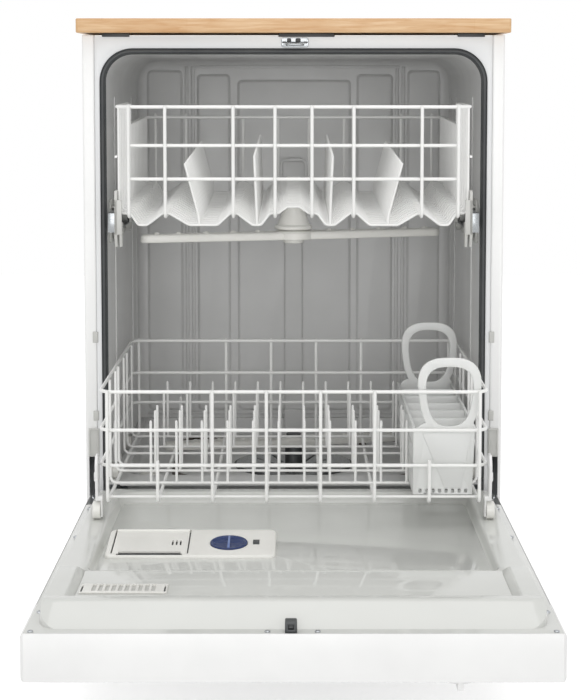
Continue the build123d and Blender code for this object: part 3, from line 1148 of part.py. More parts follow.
def lower_wheel_carriers():
    """Six moulded carriers on the lower rack's sides, each with its wheel axle."""
    outer = LOWER_HALF + FRAME_WIRE / 2
    pieces = []
    for y in WHEEL_Y:
        plate = along(polygon((y - 10.0, 250.0), (y + 10.0, 250.0), (y + 16.0, 300.0), (y + 9.0, 312.0),
                              (y - 9.0, 312.0),
                              (y - 16.0, 300.0)), outer, 3.6)
        bridge = block((261.6, outer + 3.6), (y - 10.0, y + 10.0), (250.0, 256.0))
        ear = along(polygon((y - 10.0, 256.0), (y + 10.0, 256.0), (y + 7.0, WHEEL_Z - 8.0),
                            (y - 7.0, WHEEL_Z - 8.0)),
                    261.6, 2.4)
        axle = rod((264.0, y, WHEEL_Z), (WHEEL_X[1], y, WHEEL_Z), WHEEL_AXLE)
        pieces.append(fused([plate, bridge, ear, axle]))
    return both_sides(pieces)


def lower_wheels(y):
    """A coaxial pair of lower rack wheels."""
    return both_sides([wheel(WHEEL_X, y, WHEEL_Z, WHEEL_RADIUS, WHEEL_AXLE + RUNNING_CLEARANCE, 1.5)])


def basket_right(z):
    """How far right the cutlery basket's leaning wall reaches at a height."""
    low = TINE_BASE + CLEARANCE
    share = (z - low) / (BASKET_TOP - low)
    return BASKET_RIGHT_BOTTOM + (BASKET_RIGHT_TOP - BASKET_RIGHT_BOTTOM) * share


def silverware_basket():
    """The cutlery basket: a slotted floor and walls, dividers, and ends with loop handles."""
    low = TINE_BASE + CLEARANCE
    wall = BASKET_WALL
    floor_top = low + wall
    first, last = BASKET_FRONT + HANDLE_DEPTH, BASKET_FRONT + BASKET_LENGTH - HANDLE_DEPTH
    pitch = (last - first + wall) / BASKET_CELLS
    starts = [first + cell * pitch for cell in range(BASKET_CELLS)]
    holes = [block((BASKET_LEFT + 14.0, BASKET_RIGHT_BOTTOM - 14.0), (start + 14.0, start + pitch - 16.0),
                   (low - 1.0, floor_top + 1.0)) for start in starts]
    floor = block((BASKET_LEFT, BASKET_RIGHT_BOTTOM), (first, last), (low, floor_top)).cut(*holes)
    slots = [block((BASKET_LEFT - 1.0, BASKET_RIGHT_TOP + 1.0), (y - 6.0, y + 6.0),
                   (low + 14.0, BASKET_TOP - 12.0))
             for start in starts for y in [start + (slot + 0.5) * (pitch - wall) / 3 for slot in range(3)]]
    left = block((BASKET_LEFT, BASKET_LEFT + wall), (first, last), (floor_top, BASKET_TOP)).cut(*slots)
    right_low, right_high = basket_right(floor_top), basket_right(BASKET_TOP)
    right = across(polygon((right_low - wall, floor_top), (right_low, floor_top), (right_high, BASKET_TOP),
                           (right_high - wall, BASKET_TOP)), first, last - first).cut(*slots)
    between = polygon((BASKET_LEFT + wall, floor_top), (right_low - wall, floor_top),
                      (right_high - wall, BASKET_TOP), (BASKET_LEFT + wall, BASKET_TOP))
    dividers = [across(between, start - wall, wall) for start in starts[1:]]
    end_face = polygon((BASKET_LEFT, low), (BASKET_RIGHT_BOTTOM, low), (BASKET_RIGHT_TOP, BASKET_TOP),
                       (BASKET_LEFT, BASKET_TOP))
    ends = [across(end_face, y, HANDLE_DEPTH) for y in (BASKET_FRONT, last)]
    middle_z = (BASKET_TOP - 4.0 + HANDLE_TOP) / 2
    height = HANDLE_TOP - BASKET_TOP + 4.0
    loop = (Pos(HANDLE_CENTRE_X, middle_z) * RectangleRounded(HANDLE_WIDTH, height, 38.0)
            - Pos(HANDLE_CENTRE_X, middle_z + 1.0)
            * RectangleRounded(HANDLE_WIDTH - 2 * HANDLE_BAND, height - 2 * HANDLE_BAND, 30.0))
    foot = polygon((BASKET_LEFT + 4.0, BASKET_TOP), (BASKET_RIGHT_TOP - 2.0, BASKET_TOP),
                   (BASKET_RIGHT_TOP - 10.0, BASKET_TOP + 5.0), (BASKET_LEFT + 22.0, BASKET_TOP + 5.0))
    band = loop + foot - Pos(HANDLE_CENTRE_X, BASKET_TOP - 20.0) * Rectangle(200.0, 40.0)
    handles = [across(band, y, HANDLE_DEPTH) for y in (BASKET_FRONT, last)]
    return [floor, left, right] + dividers + ends + handles


# Casters

def caster_wheel(x, y):
    """A rubber-tyred caster wheel on an axle along x."""
    half = CASTER_WHEEL_WIDTH / 2
    return wheel((x - half, x + half), y, CASTER_WHEEL_RADIUS, CASTER_WHEEL_RADIUS,
                 CASTER_AXLE + RUNNING_CLEARANCE, 3.0)


def caster_fork(x, y, axle_y, top):
    """Two ears and a crown over a caster wheel, with its axle."""
    ear_in = CASTER_WHEEL_WIDTH / 2 + 1.0
    ear_out = ear_in + 2.5
    outline = polygon((y - 14.0, top), (y - 14.0, top - 6.0), (axle_y - 9.0, CASTER_WHEEL_RADIUS - 8.0),
                      (axle_y + 9.0, CASTER_WHEEL_RADIUS - 8.0), (axle_y + 12.0, top - 6.0),
                      (axle_y + 12.0, top))
    ears = [along(outline, x + offset, 2.5) for offset in (-ear_out, ear_in)]
    crown = block((x - ear_out, x + ear_out), (y - 14.0, axle_y + 12.0), (top - 2.5, top))
    axle = rod((x - ear_out - 1.0, axle_y, CASTER_WHEEL_RADIUS),
               (x + ear_out + 1.0, axle_y, CASTER_WHEEL_RADIUS),
               CASTER_AXLE)
    return fused([crown, axle] + ears)


def caster_mounts():
    """The top plates of the two swivel casters and the two rigid rear forks."""
    pieces = []
    for side in (-1, 1):
        x = side * CASTER_X
        plate = block((x - 28.0, x + 28.0), (CASTER_FRONT_Y - 28.0, CASTER_FRONT_Y + 28.0),
                      (CASTER_HEIGHT - 3.0, CASTER_HEIGHT))
        boss = rod((x, CASTER_FRONT_Y, CASTER_HEIGHT - 8.0), (x, CASTER_FRONT_Y, CASTER_HEIGHT - 3.0), 13.0)
        bore = rod((x, CASTER_FRONT_Y, CASTER_HEIGHT - 9.0), (x, CASTER_FRONT_Y, CASTER_HEIGHT - 1.5),
                   KINGPIN + RUNNING_CLEARANCE)
        pieces.append(plate + boss - bore)
        rigid = caster_fork(x, CASTER_REAR_Y, CASTER_REAR_Y, CASTER_HEIGHT - 3.0)
        plate = block((x - 28.0, x + 28.0), (CASTER_REAR_Y - 28.0, CASTER_REAR_Y + 28.0),
                      (CASTER_HEIGHT - 3.0, CASTER_HEIGHT))
        pieces.append(rigid + plate)
    return pieces


def front_caster_fork(side):
    """A swivelling fork with its kingpin."""
    x = side * CASTER_X
    top = CASTER_HEIGHT - 8.0 - CLEARANCE
    fork = caster_fork(x, CASTER_FRONT_Y, CASTER_FRONT_Y + CASTER_TRAIL, top)
    pin = rod((x, CASTER_FRONT_Y, top - 2.5), (x, CASTER_FRONT_Y, CASTER_HEIGHT - 2.0), KINGPIN)
    return [fork + pin]


# Fasteners

def screws():
    """Pan head screws on the door liner's flange, the cabinet back and the hinge covers."""
    places = [(side * 290.0, y) for side in (-1, 1) for y in (-684.0, -611.0, -440.0, -270.0, -110.0)]
    places += [(-29.0, -684.0), (27.0, -684.0)]
    heads = [rod((x, y, DOOR_TOP), (x, y, DOOR_TOP + 1.6), 3.4) for x, y in places]
    rear = CABINET_DEPTH - SHEET
    for x in (-280.0, -140.0, 0.0, 140.0, 280.0):
        for z in (90.0, 860.0):
            heads.append(rod((x, rear, z), (x, rear + 1.6, z), 4.0))
    return heads


# Assembly

def place_in_frame(shape):
    """Moves a piece so that the whole machine is centred over the origin."""
    return Pos(0, FRAME_SHIFT_Y, 0) * shape


def nodes():
    """Every named piece of the machine with the function that makes it."""
    return {
        "worktop": worktop, "worktop_brackets": worktop_brackets, "cabinet_sides": cabinet_sides,
        "cabinet_back": cabinet_back, "rear_port_plate": rear_port_plate, "inlet_valve": inlet_valve,
        "base_frame": base_frame, "access_panel": access_panel, "front_frame": front_frame,
        "door_gasket": door_gasket, "latch_strike": latch_strike, "frame_clips": frame_clips,
        "door_hinges": door_hinges, "tub": tub, "roller_brackets": roller_brackets,
        "sump": sump, "filter_screen": filter_screen, "heating_element": heating_element,
        "feed_tube": feed_tube, "wash_pump": wash_pump, "drain_pump": drain_pump,
        "door_outer_panel": door_outer_panel, "door_liner": door_liner, "control_console": control_console,
        "door_latch": door_latch, "vent_grille": vent_grille, "dispenser_housing": dispenser_housing,
        "door_springs": door_springs, "screws": screws,
        "caster_mounts": caster_mounts, "detergent_lid": detergent_lid, "rinse_cap": rinse_cap,
        "cycle_dial": cycle_dial, "start_button": lambda: push_button(BUTTON_X[0]),
        "heat_button": lambda: push_button(BUTTON_X[1]), "latch_handle": latch_handle,
        "float_cap": float_cap, "upper_rack_basket": upper_rack_basket,
        "upper_rack_tines": upper_rack_tines, "upper_roller_carriers": upper_roller_carriers,
        "upper_feed_pipe": upper_feed_pipe, "upper_spray_arm": upper_spray_arm, "slide_rails": slide_rails,
        "rack_rollers_front": lambda: rack_rollers(RACK_ROLLER_Y[0]),
        "rack_rollers_rear": lambda: rack_rollers(RACK_ROLLER_Y[1]),
        "tub_rollers_front": lambda: tub_rollers(TUB_ROLLER_Y[0]),
        "tub_rollers_rear": lambda: tub_rollers(TUB_ROLLER_Y[1]),
        "lower_rack_basket": lower_rack_basket, "lower_rack_tines": lower_rack_tines,
        "lower_wheel_carriers": lower_wheel_carriers,
        "lower_wheels_front": lambda: lower_wheels(WHEEL_Y[0]),
        "lower_wheels_middle": lambda: lower_wheels(WHEEL_Y[1]),
        "lower_wheels_rear": lambda: lower_wheels(WHEEL_Y[2]),
        "lower_spray_arm": lower_spray_arm, "silverware_basket": silverware_basket,
        "front_caster_fork_left": lambda: front_caster_fork(-1),
        "front_caster_fork_right": lambda: front_caster_fork(1),
        "front_caster_wheel_left": lambda: [caster_wheel(-CASTER_X, CASTER_FRONT_Y + CASTER_TRAIL)],
        "front_caster_wheel_right": lambda: [caster_wheel(CASTER_X, CASTER_FRONT_Y + CASTER_TRAIL)],
        "rear_caster_wheels": lambda: [caster_wheel(side * CASTER_X, CASTER_REAR_Y) for side in (-1, 1)],
    }


def main():
    """Writes one file for each named piece."""
    os.makedirs("parts", exist_ok=True)
    for name, make in nodes().items():
        solids = [solid for shape in make() for solid in place_in_frame(shape).solids()]
        export_step(Compound(solids), os.path.join("parts", name + ".step"))


if __name__ == "__main__":
    main()
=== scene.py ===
import json
import logging
import math
from collections.abc import Callable, Iterable, Sequence
from dataclasses import dataclass
from enum import Enum

import bmesh
import bpy
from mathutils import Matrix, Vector

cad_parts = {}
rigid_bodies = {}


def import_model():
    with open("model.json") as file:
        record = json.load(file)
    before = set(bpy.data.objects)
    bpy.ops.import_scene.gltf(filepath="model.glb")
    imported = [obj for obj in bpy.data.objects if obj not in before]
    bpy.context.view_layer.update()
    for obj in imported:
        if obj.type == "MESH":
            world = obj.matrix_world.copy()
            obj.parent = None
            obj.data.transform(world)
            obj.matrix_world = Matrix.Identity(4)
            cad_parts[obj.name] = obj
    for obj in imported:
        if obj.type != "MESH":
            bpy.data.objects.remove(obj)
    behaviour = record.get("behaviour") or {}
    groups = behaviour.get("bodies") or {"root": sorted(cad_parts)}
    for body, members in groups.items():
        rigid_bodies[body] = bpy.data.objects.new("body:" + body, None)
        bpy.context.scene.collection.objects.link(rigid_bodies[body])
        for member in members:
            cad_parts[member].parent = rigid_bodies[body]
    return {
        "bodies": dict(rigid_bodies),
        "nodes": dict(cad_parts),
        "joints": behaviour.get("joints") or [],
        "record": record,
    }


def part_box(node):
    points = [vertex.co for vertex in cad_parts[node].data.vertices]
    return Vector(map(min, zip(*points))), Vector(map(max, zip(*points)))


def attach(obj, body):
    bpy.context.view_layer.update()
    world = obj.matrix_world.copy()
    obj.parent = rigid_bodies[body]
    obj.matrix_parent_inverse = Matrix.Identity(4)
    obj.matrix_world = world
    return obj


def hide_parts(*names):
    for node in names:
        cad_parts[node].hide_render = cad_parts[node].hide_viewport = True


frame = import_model()

log = logging.getLogger("dishwasher")

Point = tuple[float, float, float]
Span = tuple[float, float]
Tree = bpy.types.NodeTree
Socket = bpy.types.NodeSocket
Inputs = bpy.types.bpy_prop_collection
NOISE = "ShaderNodeTexNoise"
MERGE = 1e-6  # corners nearer than this many metres become one
ALONG = 0.9  # the least share of an edge or a normal that lies along an axis it follows
LEVEL = 0.1  # the most that a level edge rises
RIGHT: Point = (1, 0, 0)
UP: Point = (0, 0, 1)
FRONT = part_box("cabinet_sides")[0].y
BODY_OF = {node: body for body, nodes in frame["record"]["behaviour"]["bodies"].items() for node in nodes}


class Axis(Enum):
    """The machine's three directions."""

    X = 0
    Y = 1
    Z = 2


def place(x: float, y: float, z: float) -> Vector:
    """Turn millimetres from the middle of the cabinet's front into scene metres.

    Args:
        x: Distance to the right.
        y: Depth behind the cabinet's front face.
        z: Height over the floor.

    Returns:
        The point in the scene.
    """
    return Vector((x / 1000, FRONT + y / 1000, z / 1000))


def millimetres(point: Vector) -> Vector:
    """Turn a scene point back into millimetres from the cabinet's front."""
    return Vector((point.x, point.y - FRONT, point.z)) * 1000


def clear_selection() -> None:
    """Leave edit mode and deselect every object."""
    if bpy.context.object and bpy.context.object.mode == "EDIT":
        bpy.ops.object.mode_set(mode="OBJECT")
    bpy.ops.object.select_all(action="DESELECT")


# Finishes


def linear(colour: str) -> tuple[float, float, float, float]:
    """Turn an sRGB hex value into the linear colour a shader takes.

    Args:
        colour: A value such as "#E0B47A".

    Returns:
        Red, green, blue and full alpha.
    """
    channels = [int(colour[at:at + 2], 16) / 255 for at in (1, 3, 5)]
    red, green, blue = (c / 12.92 if c <= 0.04045 else ((c + 0.055) / 1.055) ** 2.4 for c in channels)
    return red, green, blue, 1.0


def add_node(tree: Tree, kind: str, inputs: dict[str | int, object] | None = None,
             **settings: object) -> bpy.types.Node:
    """Add one node with its settings and links.

    Args:
        tree: The material's node tree.
        kind: The node's type name.
        inputs: A value or another node's output socket for each named input.
        settings: Attributes of the node.

    Returns:
        The new node.
    """
    node = tree.nodes.new(kind)
    for name, value in settings.items():
        setattr(node, name, value)
    for name, value in (inputs or {}).items():
        if isinstance(value, bpy.types.NodeSocket):
            tree.links.new(value, node.inputs[name])
        else:
            node.inputs[name].default_value = value
    return node


def surface_of(tree: Tree) -> Inputs:
    """Give the inputs of a material's shader."""
    return tree.nodes["Principled BSDF"].inputs


@dataclass(frozen=True)
class Finish:
    """A real material and how its surface was made, built once as a procedural material."""

    name: str
    colour: str
    shade: str
    roughness: float
    ior: float = 1.5
    metallic: float = 0.0

    def material(self) -> bpy.types.Material:
        """Give the finish's material, which is built the first time it is asked for."""
        made = bpy.data.materials.get(self.name)
        if made is None:
            made = bpy.data.materials.new(self.name)
            made.use_nodes = True
            surface = surface_of(made.node_tree)
            surface["Base Color"].default_value = linear(self.colour)
            surface["Roughness"].default_value = self.roughness
            surface["Metallic"].default_value = self.metallic
            if not self.metallic:
                surface["IOR"].default_value = self.ior
            self.detail(made.node_tree)
        return made

    def detail(self, tree: Tree) -> None:
        """Add the finish's own patterns to its shader."""
        raise NotImplementedError

    def texture(self, tree: Tree, kind: str, inputs: dict[str, object], stretch: Point | None = None,
                output: int | str = 0, **settings: object) -> Socket:
        """Lay a texture over the piece in object space.

        Args:
            tree: The material's node tree.
            kind: The texture's node type.
            inputs: Its values.
            stretch: How fast it runs along each axis, where that isn't the same.
            output: Which of its outputs is used.
            settings: Attributes of the node.

        Returns:
            The texture's output.
        """
        where = add_node(tree, "ShaderNodeTexCoord").outputs["Object"]
        if stretch:
            where = add_node(tree, "ShaderNodeMapping", {"Vector": where, "Scale": stretch}).outputs["Vector"]
        return add_node(tree, kind, {"Vector": where} | inputs, **settings).outputs[output]

    def levels(self, tree: Tree, value: Socket, *limits: Span) -> list[Socket]:
        """Map the middle of a pattern's range, which its values fill, onto each pair of limits."""
        return [add_node(tree, "ShaderNodeMapRange", {"Value": value, "From Min": 0.3, "From Max": 0.7,
                                                      "To Min": low, "To Max": high}).outputs["Result"]
                for low, high in limits]

    def dress(self, tree: Tree, tone: Socket, gloss: Socket | None, relief: Socket, depth: float,
              strength: float) -> None:
        """Let patterns tone the colour, change the gloss and raise the surface.

        Args:
            tree: The material's node tree.
            tone: How much of the shade shows.
            gloss: The roughness, where it isn't the same all over.
            relief: The pattern that raises the surface.
            depth: Its height in millimetres.
            strength: How much of that height shows.
        """
        surface = surface_of(tree)
        blend = add_node(tree, "ShaderNodeMix", {0: tone, 6: linear(self.colour), 7: linear(self.shade)},
                         data_type="RGBA")
        raised = add_node(tree, "ShaderNodeBump", {"Height": relief, "Distance": depth / 1000,
                                                   "Strength": strength})
        tree.links.new(blend.outputs[2], surface["Base Color"])
        tree.links.new(raised.outputs["Normal"], surface["Normal"])
        if gloss:
            tree.links.new(gloss, surface["Roughness"])


@dataclass(frozen=True)
class SmoothCoat(Finish):
    """Baked enamel and powder coat: even colour, soft ripple, faint change of gloss."""

    patch: float = 180.0
    ripple: float = 3.0
    depth: float = 0.02

    def detail(self, tree: Tree) -> None:
        """Give orange-peel ripple and broad, barely seen shade and gloss changes."""
        broad = self.texture(tree, NOISE, {"Scale": 1000 / self.patch, "Detail": 2.0})
        ripple = self.texture(tree, NOISE, {"Scale": 1000 / self.ripple, "Detail": 2.0})
        tone, gloss = self.levels(tree, broad, (0.0, 1.0), (self.roughness - 0.01, self.roughness + 0.01))
        self.dress(tree, tone, gloss, ripple, self.depth, 0.35)


@dataclass(frozen=True)
class MouldedPlastic(Finish):
    """Injection-moulded plastic: a spark-eroded grain and slight flow marks.

    The real grain is near 0.2 mm, too fine to show, so it is drawn several times as coarse.
    """

    flow: float = 90.0
    grain: float = 0.9
    depth: float = 0.02
    scatter: float = 0.0

    def detail(self, tree: Tree) -> None:
        """Give grain in the bump, flow marks in colour and gloss, and light bled inside pale parts."""
        flow = self.texture(tree, NOISE, {"Scale": 1000 / self.flow, "Detail": 3.0})
        grain = self.texture(tree, NOISE, {"Scale": 1000 / self.grain, "Detail": 2.0})
        tone, gloss = self.levels(tree, flow, (0.0, 1.0), (self.roughness * 0.88, self.roughness * 1.15))
        self.dress(tree, tone, gloss, grain, self.depth, 0.4)
        if self.scatter:
            surface = surface_of(tree)
            surface["Subsurface Weight"].default_value = 0.15
            surface["Subsurface Radius"].default_value = (self.scatter,) * 3
            surface["Subsurface Scale"].default_value = 0.001


@dataclass(frozen=True)
class MapleBlock(Finish):
    """Edge-glued hard maple staves under satin lacquer.

    Pores and growth lines are well under a millimetre wide, so the streaks are drawn 2.4 mm apart.
    """

    stave_width: float = 38.0
    stave_length: float = 420.0
    joint: float = 0.25
    streaks_per_metre: float = 420.0
    figures_per_metre: float = 60.0
    along_grain: Point = (0.05, 1.0, 0.6)

    def detail(self, tree: Tree) -> None:
        """Give each stave its own tone, long grain streaks, pores and hairline glue joints."""
        staves = self.texture(tree, "ShaderNodeTexBrick", {
            "Color1": (0.2, 0.2, 0.2, 1), "Color2": (0.85, 0.85, 0.85, 1), "Mortar": (0.9, 0.9, 0.9, 1),
            "Scale": 1.0, "Mortar Size": self.joint / 1000, "Mortar Smooth": 0.4, "Bias": 0.0,
            "Brick Width": self.stave_length / 1000, "Row Height": self.stave_width / 1000},
            offset=0.37, offset_frequency=2)
        streaks, figures = (self.texture(tree, NOISE, {"Scale": scale, "Detail": detail, "Distortion": bent},
                                         self.along_grain)
                            for scale, detail, bent in ((self.streaks_per_metre, 4.0, 0.6),
                                                        (self.figures_per_metre, 3.0, 1.2)))
        streak, gloss = self.levels(tree, streaks, (0.0, 0.55),
                                    (self.roughness - 0.05, self.roughness + 0.08))
        figure, = self.levels(tree, figures, (0.0, 0.3))
        both = add_node(tree, "ShaderNodeMath", {0: streak, 1: figure}, operation="ADD")
        toned = add_node(tree, "ShaderNodeMath", {0: staves, 1: 0.35}, operation="MULTIPLY")
        whole = add_node(tree, "ShaderNodeMath", {0: both.outputs[0], 1: toned.outputs[0]}, operation="ADD",
                         use_clamp=True)
        self.dress(tree, whole.outputs[0], gloss, streaks, 0.05, 0.3)


@dataclass(frozen=True)
class Zinc(Finish):
    """Hot-dipped zinc on steel sheet: flat crystal spangle."""

    metallic: float = 1.0
    spangle: float = 12.0

    def detail(self, tree: Tree) -> None:
        """Give cells that each reflect a little differently."""
        crystals = self.texture(tree, "ShaderNodeTexVoronoi", {"Scale": 1000 / self.spangle}, output="Color")
        value = add_node(tree, "ShaderNodeSeparateColor", {"Color": crystals}).outputs[0]
        gloss, = self.levels(tree, value, (self.roughness - 0.03, self.roughness + 0.04))
        self.dress(tree, value, gloss, value, 0.01, 0.15)


@dataclass(frozen=True)
class DrawnSteel(Finish):
    """Drawn or rolled bright steel with lines along its length.

    Real draw lines are hundredths of a millimetre apart, so they are drawn coarse enough to show.
    """

    metallic: float = 1.0
    lines_per_metre: float = 1600.0
    along_draw: Point = (1.0, 0.06, 1.0)

    def detail(self, tree: Tree) -> None:
        """Give draw lines in gloss and relief."""
        lines = self.texture(tree, NOISE, {"Scale": self.lines_per_metre, "Detail": 2.0}, self.along_draw)
        tone, gloss = self.levels(tree, lines, (0.0, 0.6), (self.roughness - 0.08, self.roughness + 0.12))
        self.dress(tree, tone, gloss, lines, 0.01, 0.3)


@dataclass(frozen=True)
class MouldedRubber(Finish):
    """Moulded rubber: matt, slightly dusty, with a skin drawn coarser than the real one."""

    bloom: float = 40.0
    skin: float = 0.7

    def detail(self, tree: Tree) -> None:
        """Give a pale bloom in patches and a fine skin."""
        patches = self.texture(tree, NOISE, {"Scale": 1000 / self.bloom, "Detail": 4.0})
        skin = self.texture(tree, NOISE, {"Scale": 1000 / self.skin, "Detail": 2.0})
        tone, = self.levels(tree, patches, (0.0, 0.7))
        self.dress(tree, tone, None, skin, 0.02, 0.4)


@dataclass(frozen=True)
class ClearPlastic(MouldedPlastic):
    """Natural polypropylene: milky and part see-through."""

    clearness: float = 0.35

    def detail(self, tree: Tree) -> None:
        """Let part of the light through and bleed the rest inside the wall."""
        super().detail(tree)
        surface_of(tree)["Transmission Weight"].default_value = self.clearness


# Sanded staves under satin lacquer: warm bands of slightly different tone with a soft sheen.
MAPLE = MapleBlock("maple_staves_satin_lacquer", "#E4C59C", "#C3925F", 0.38, 1.48)
# Sprayed and baked enamel: bright, even and glossy.
WHITE_ENAMEL = SmoothCoat("steel_sheet_baked_white_enamel", "#F0F0EF", "#EEEEED", 0.24, 1.52)
# Sprayed paint: duller and greyer than the enamel beside it.
FRAME_PAINT = SmoothCoat("steel_frame_pale_grey_paint", "#E1E2E2", "#DDDEDF", 0.34)
BLACK_PAINT = SmoothCoat("steel_tab_black_paint", "#232425", "#2E2F30", 0.45)
# Wire dipped in molten nylon: thick, smooth and shiny.
WIRE_COAT = SmoothCoat("steel_wire_white_nylon_dip_coat", "#F4F4F2", "#ECECEA", 0.3, 1.53, ripple=2.0)
# Sheet drawn through a zinc bath: a dull mirror of frozen crystals.
SHEET_ZINC = Zinc("hot_dipped_zinc_sheet", "#B2B7BA", "#A3A9AD", 0.42)
# Extruded rubber is satin black, moulded tyres are dustier and grey.
DOOR_RUBBER = MouldedRubber("epdm_rubber_extruded", "#3A3C3E", "#4A4C4C", 0.55)
TYRE_RUBBER = MouldedRubber("grey_rubber_moulded", "#35363A", "#4E5054", 0.7)
# Electroplated on drawn or rolled steel: bright, with lines along its length.
PLATED_STEEL = DrawnSteel("steel_bright_zinc_plated", "#C9CCCF", "#77797B", 0.25)
STRIKE_STEEL = DrawnSteel("steel_zinc_nickel_plated", "#A4A7A9", "#6F7274", 0.22)
STAINLESS = DrawnSteel("stainless_screen_rolled", "#B9BBBC", "#77797B", 0.3)
# Heat has browned the sheath, oil has darkened the springs.
HEATER_SHEATH = DrawnSteel("nickel_alloy_sheath_oxidised", "#6B625A", "#4E4843", 0.5)
SPRING_STEEL = DrawnSteel("spring_wire_oiled", "#6F7376", "#4D5052", 0.36)
# Moulded in a grained steel mould: satin grey with soft highlights.
TUB_PLASTIC = MouldedPlastic("polypropylene_grey_moulded_tub", "#DFDFDE", "#DADAD9", 0.34, 1.49, grain=1.4)
# Moulded in a polished mould: near mirror gloss whose slow waves streak what it reflects.
LINER_PLASTIC = MouldedPlastic("polypropylene_glossy_moulded_liner", "#D3D4D0", "#D0D1CD", 0.05, 1.49,
                               grain=6.0, depth=0.004)
# Moulded with a fine grain: the pale ones let light bleed a little at their edges.
WHITE_PLASTIC = MouldedPlastic("abs_white_moulded", "#EDEDEC", "#E6E6E5", 0.3, 1.53, depth=0.01)
PALE_PLASTIC = MouldedPlastic("polypropylene_off_white_moulded", "#EAE9E4", "#E2E1DC", 0.32, 1.49,
                              scatter=1.5)
GREY_PLASTIC = MouldedPlastic("acetal_grey_moulded", "#C6C6C2", "#BDBDB9", 0.36, 1.48, scatter=1.0)
DARK_PLASTIC = MouldedPlastic("glass_filled_nylon_dark_moulded", "#3B3E3F", "#474A4B", 0.45, 1.53)
BLUE_PLASTIC = MouldedPlastic("polypropylene_navy_moulded", "#1F3260", "#25396B", 0.28, 1.49)
# The grip's lighter blue is a painted highlight along the bar, not a colour of its own.
NAVY_GRIP_PAINTED_HIGHLIGHT = MouldedPlastic("polypropylene_navy_polished", "#7386B8", "#6B7EB0", 0.24, 1.49)
# Unpigmented and thin: cloudy, with shapes behind it faintly seen.
BASKET_PLASTIC = ClearPlastic("polypropylene_natural_translucent_moulded", "#F0F1EF", "#E8E9E7", 0.36, 1.49,
                              scatter=2.5, clearness=0.2)

CARRIED_OVER: dict[str, Finish] = {
    "filter_screen": STAINLESS, "heating_element": HEATER_SHEATH, "door_springs": SPRING_STEEL}


def dress_frame() -> None:
    """Give the frame's nodes that no piece stands for their finish."""
    for name, finish in CARRIED_OVER.items():
        for slot in frame["nodes"][name].material_slots:
            slot.material = finish.material()
        log.info("%s takes %s", name, finish.name)


# Tools


class Part(Enum):
    """What a selection in edit mode is made of."""

    CORNERS = "VERT"
    EDGES = "EDGE"
    FACES = "FACE"


Test = Callable[[Vector, Vector], bool]
Spot = Callable[[Vector], bool]


def along(axis: Axis, where: Spot = lambda spot: True) -> Test:
    """Make a test for the edges that run along an axis in a part of the piece."""
    return lambda spot, way: abs(way[axis.value]) > ALONG and where(spot)


def level(where: Spot) -> Test:
    """Make a test for the edges that lie level in a part of the piece."""
    return lambda spot, way: abs(way.z) < LEVEL and where(spot)


def looking(axis: Axis, side: int = 1, where: Spot = lambda spot: True) -> Test:
    """Make a test for the faces that look up an axis, or down it for a side of -1."""
    return lambda spot, normal: side * normal[axis.value] > ALONG and where(spot)


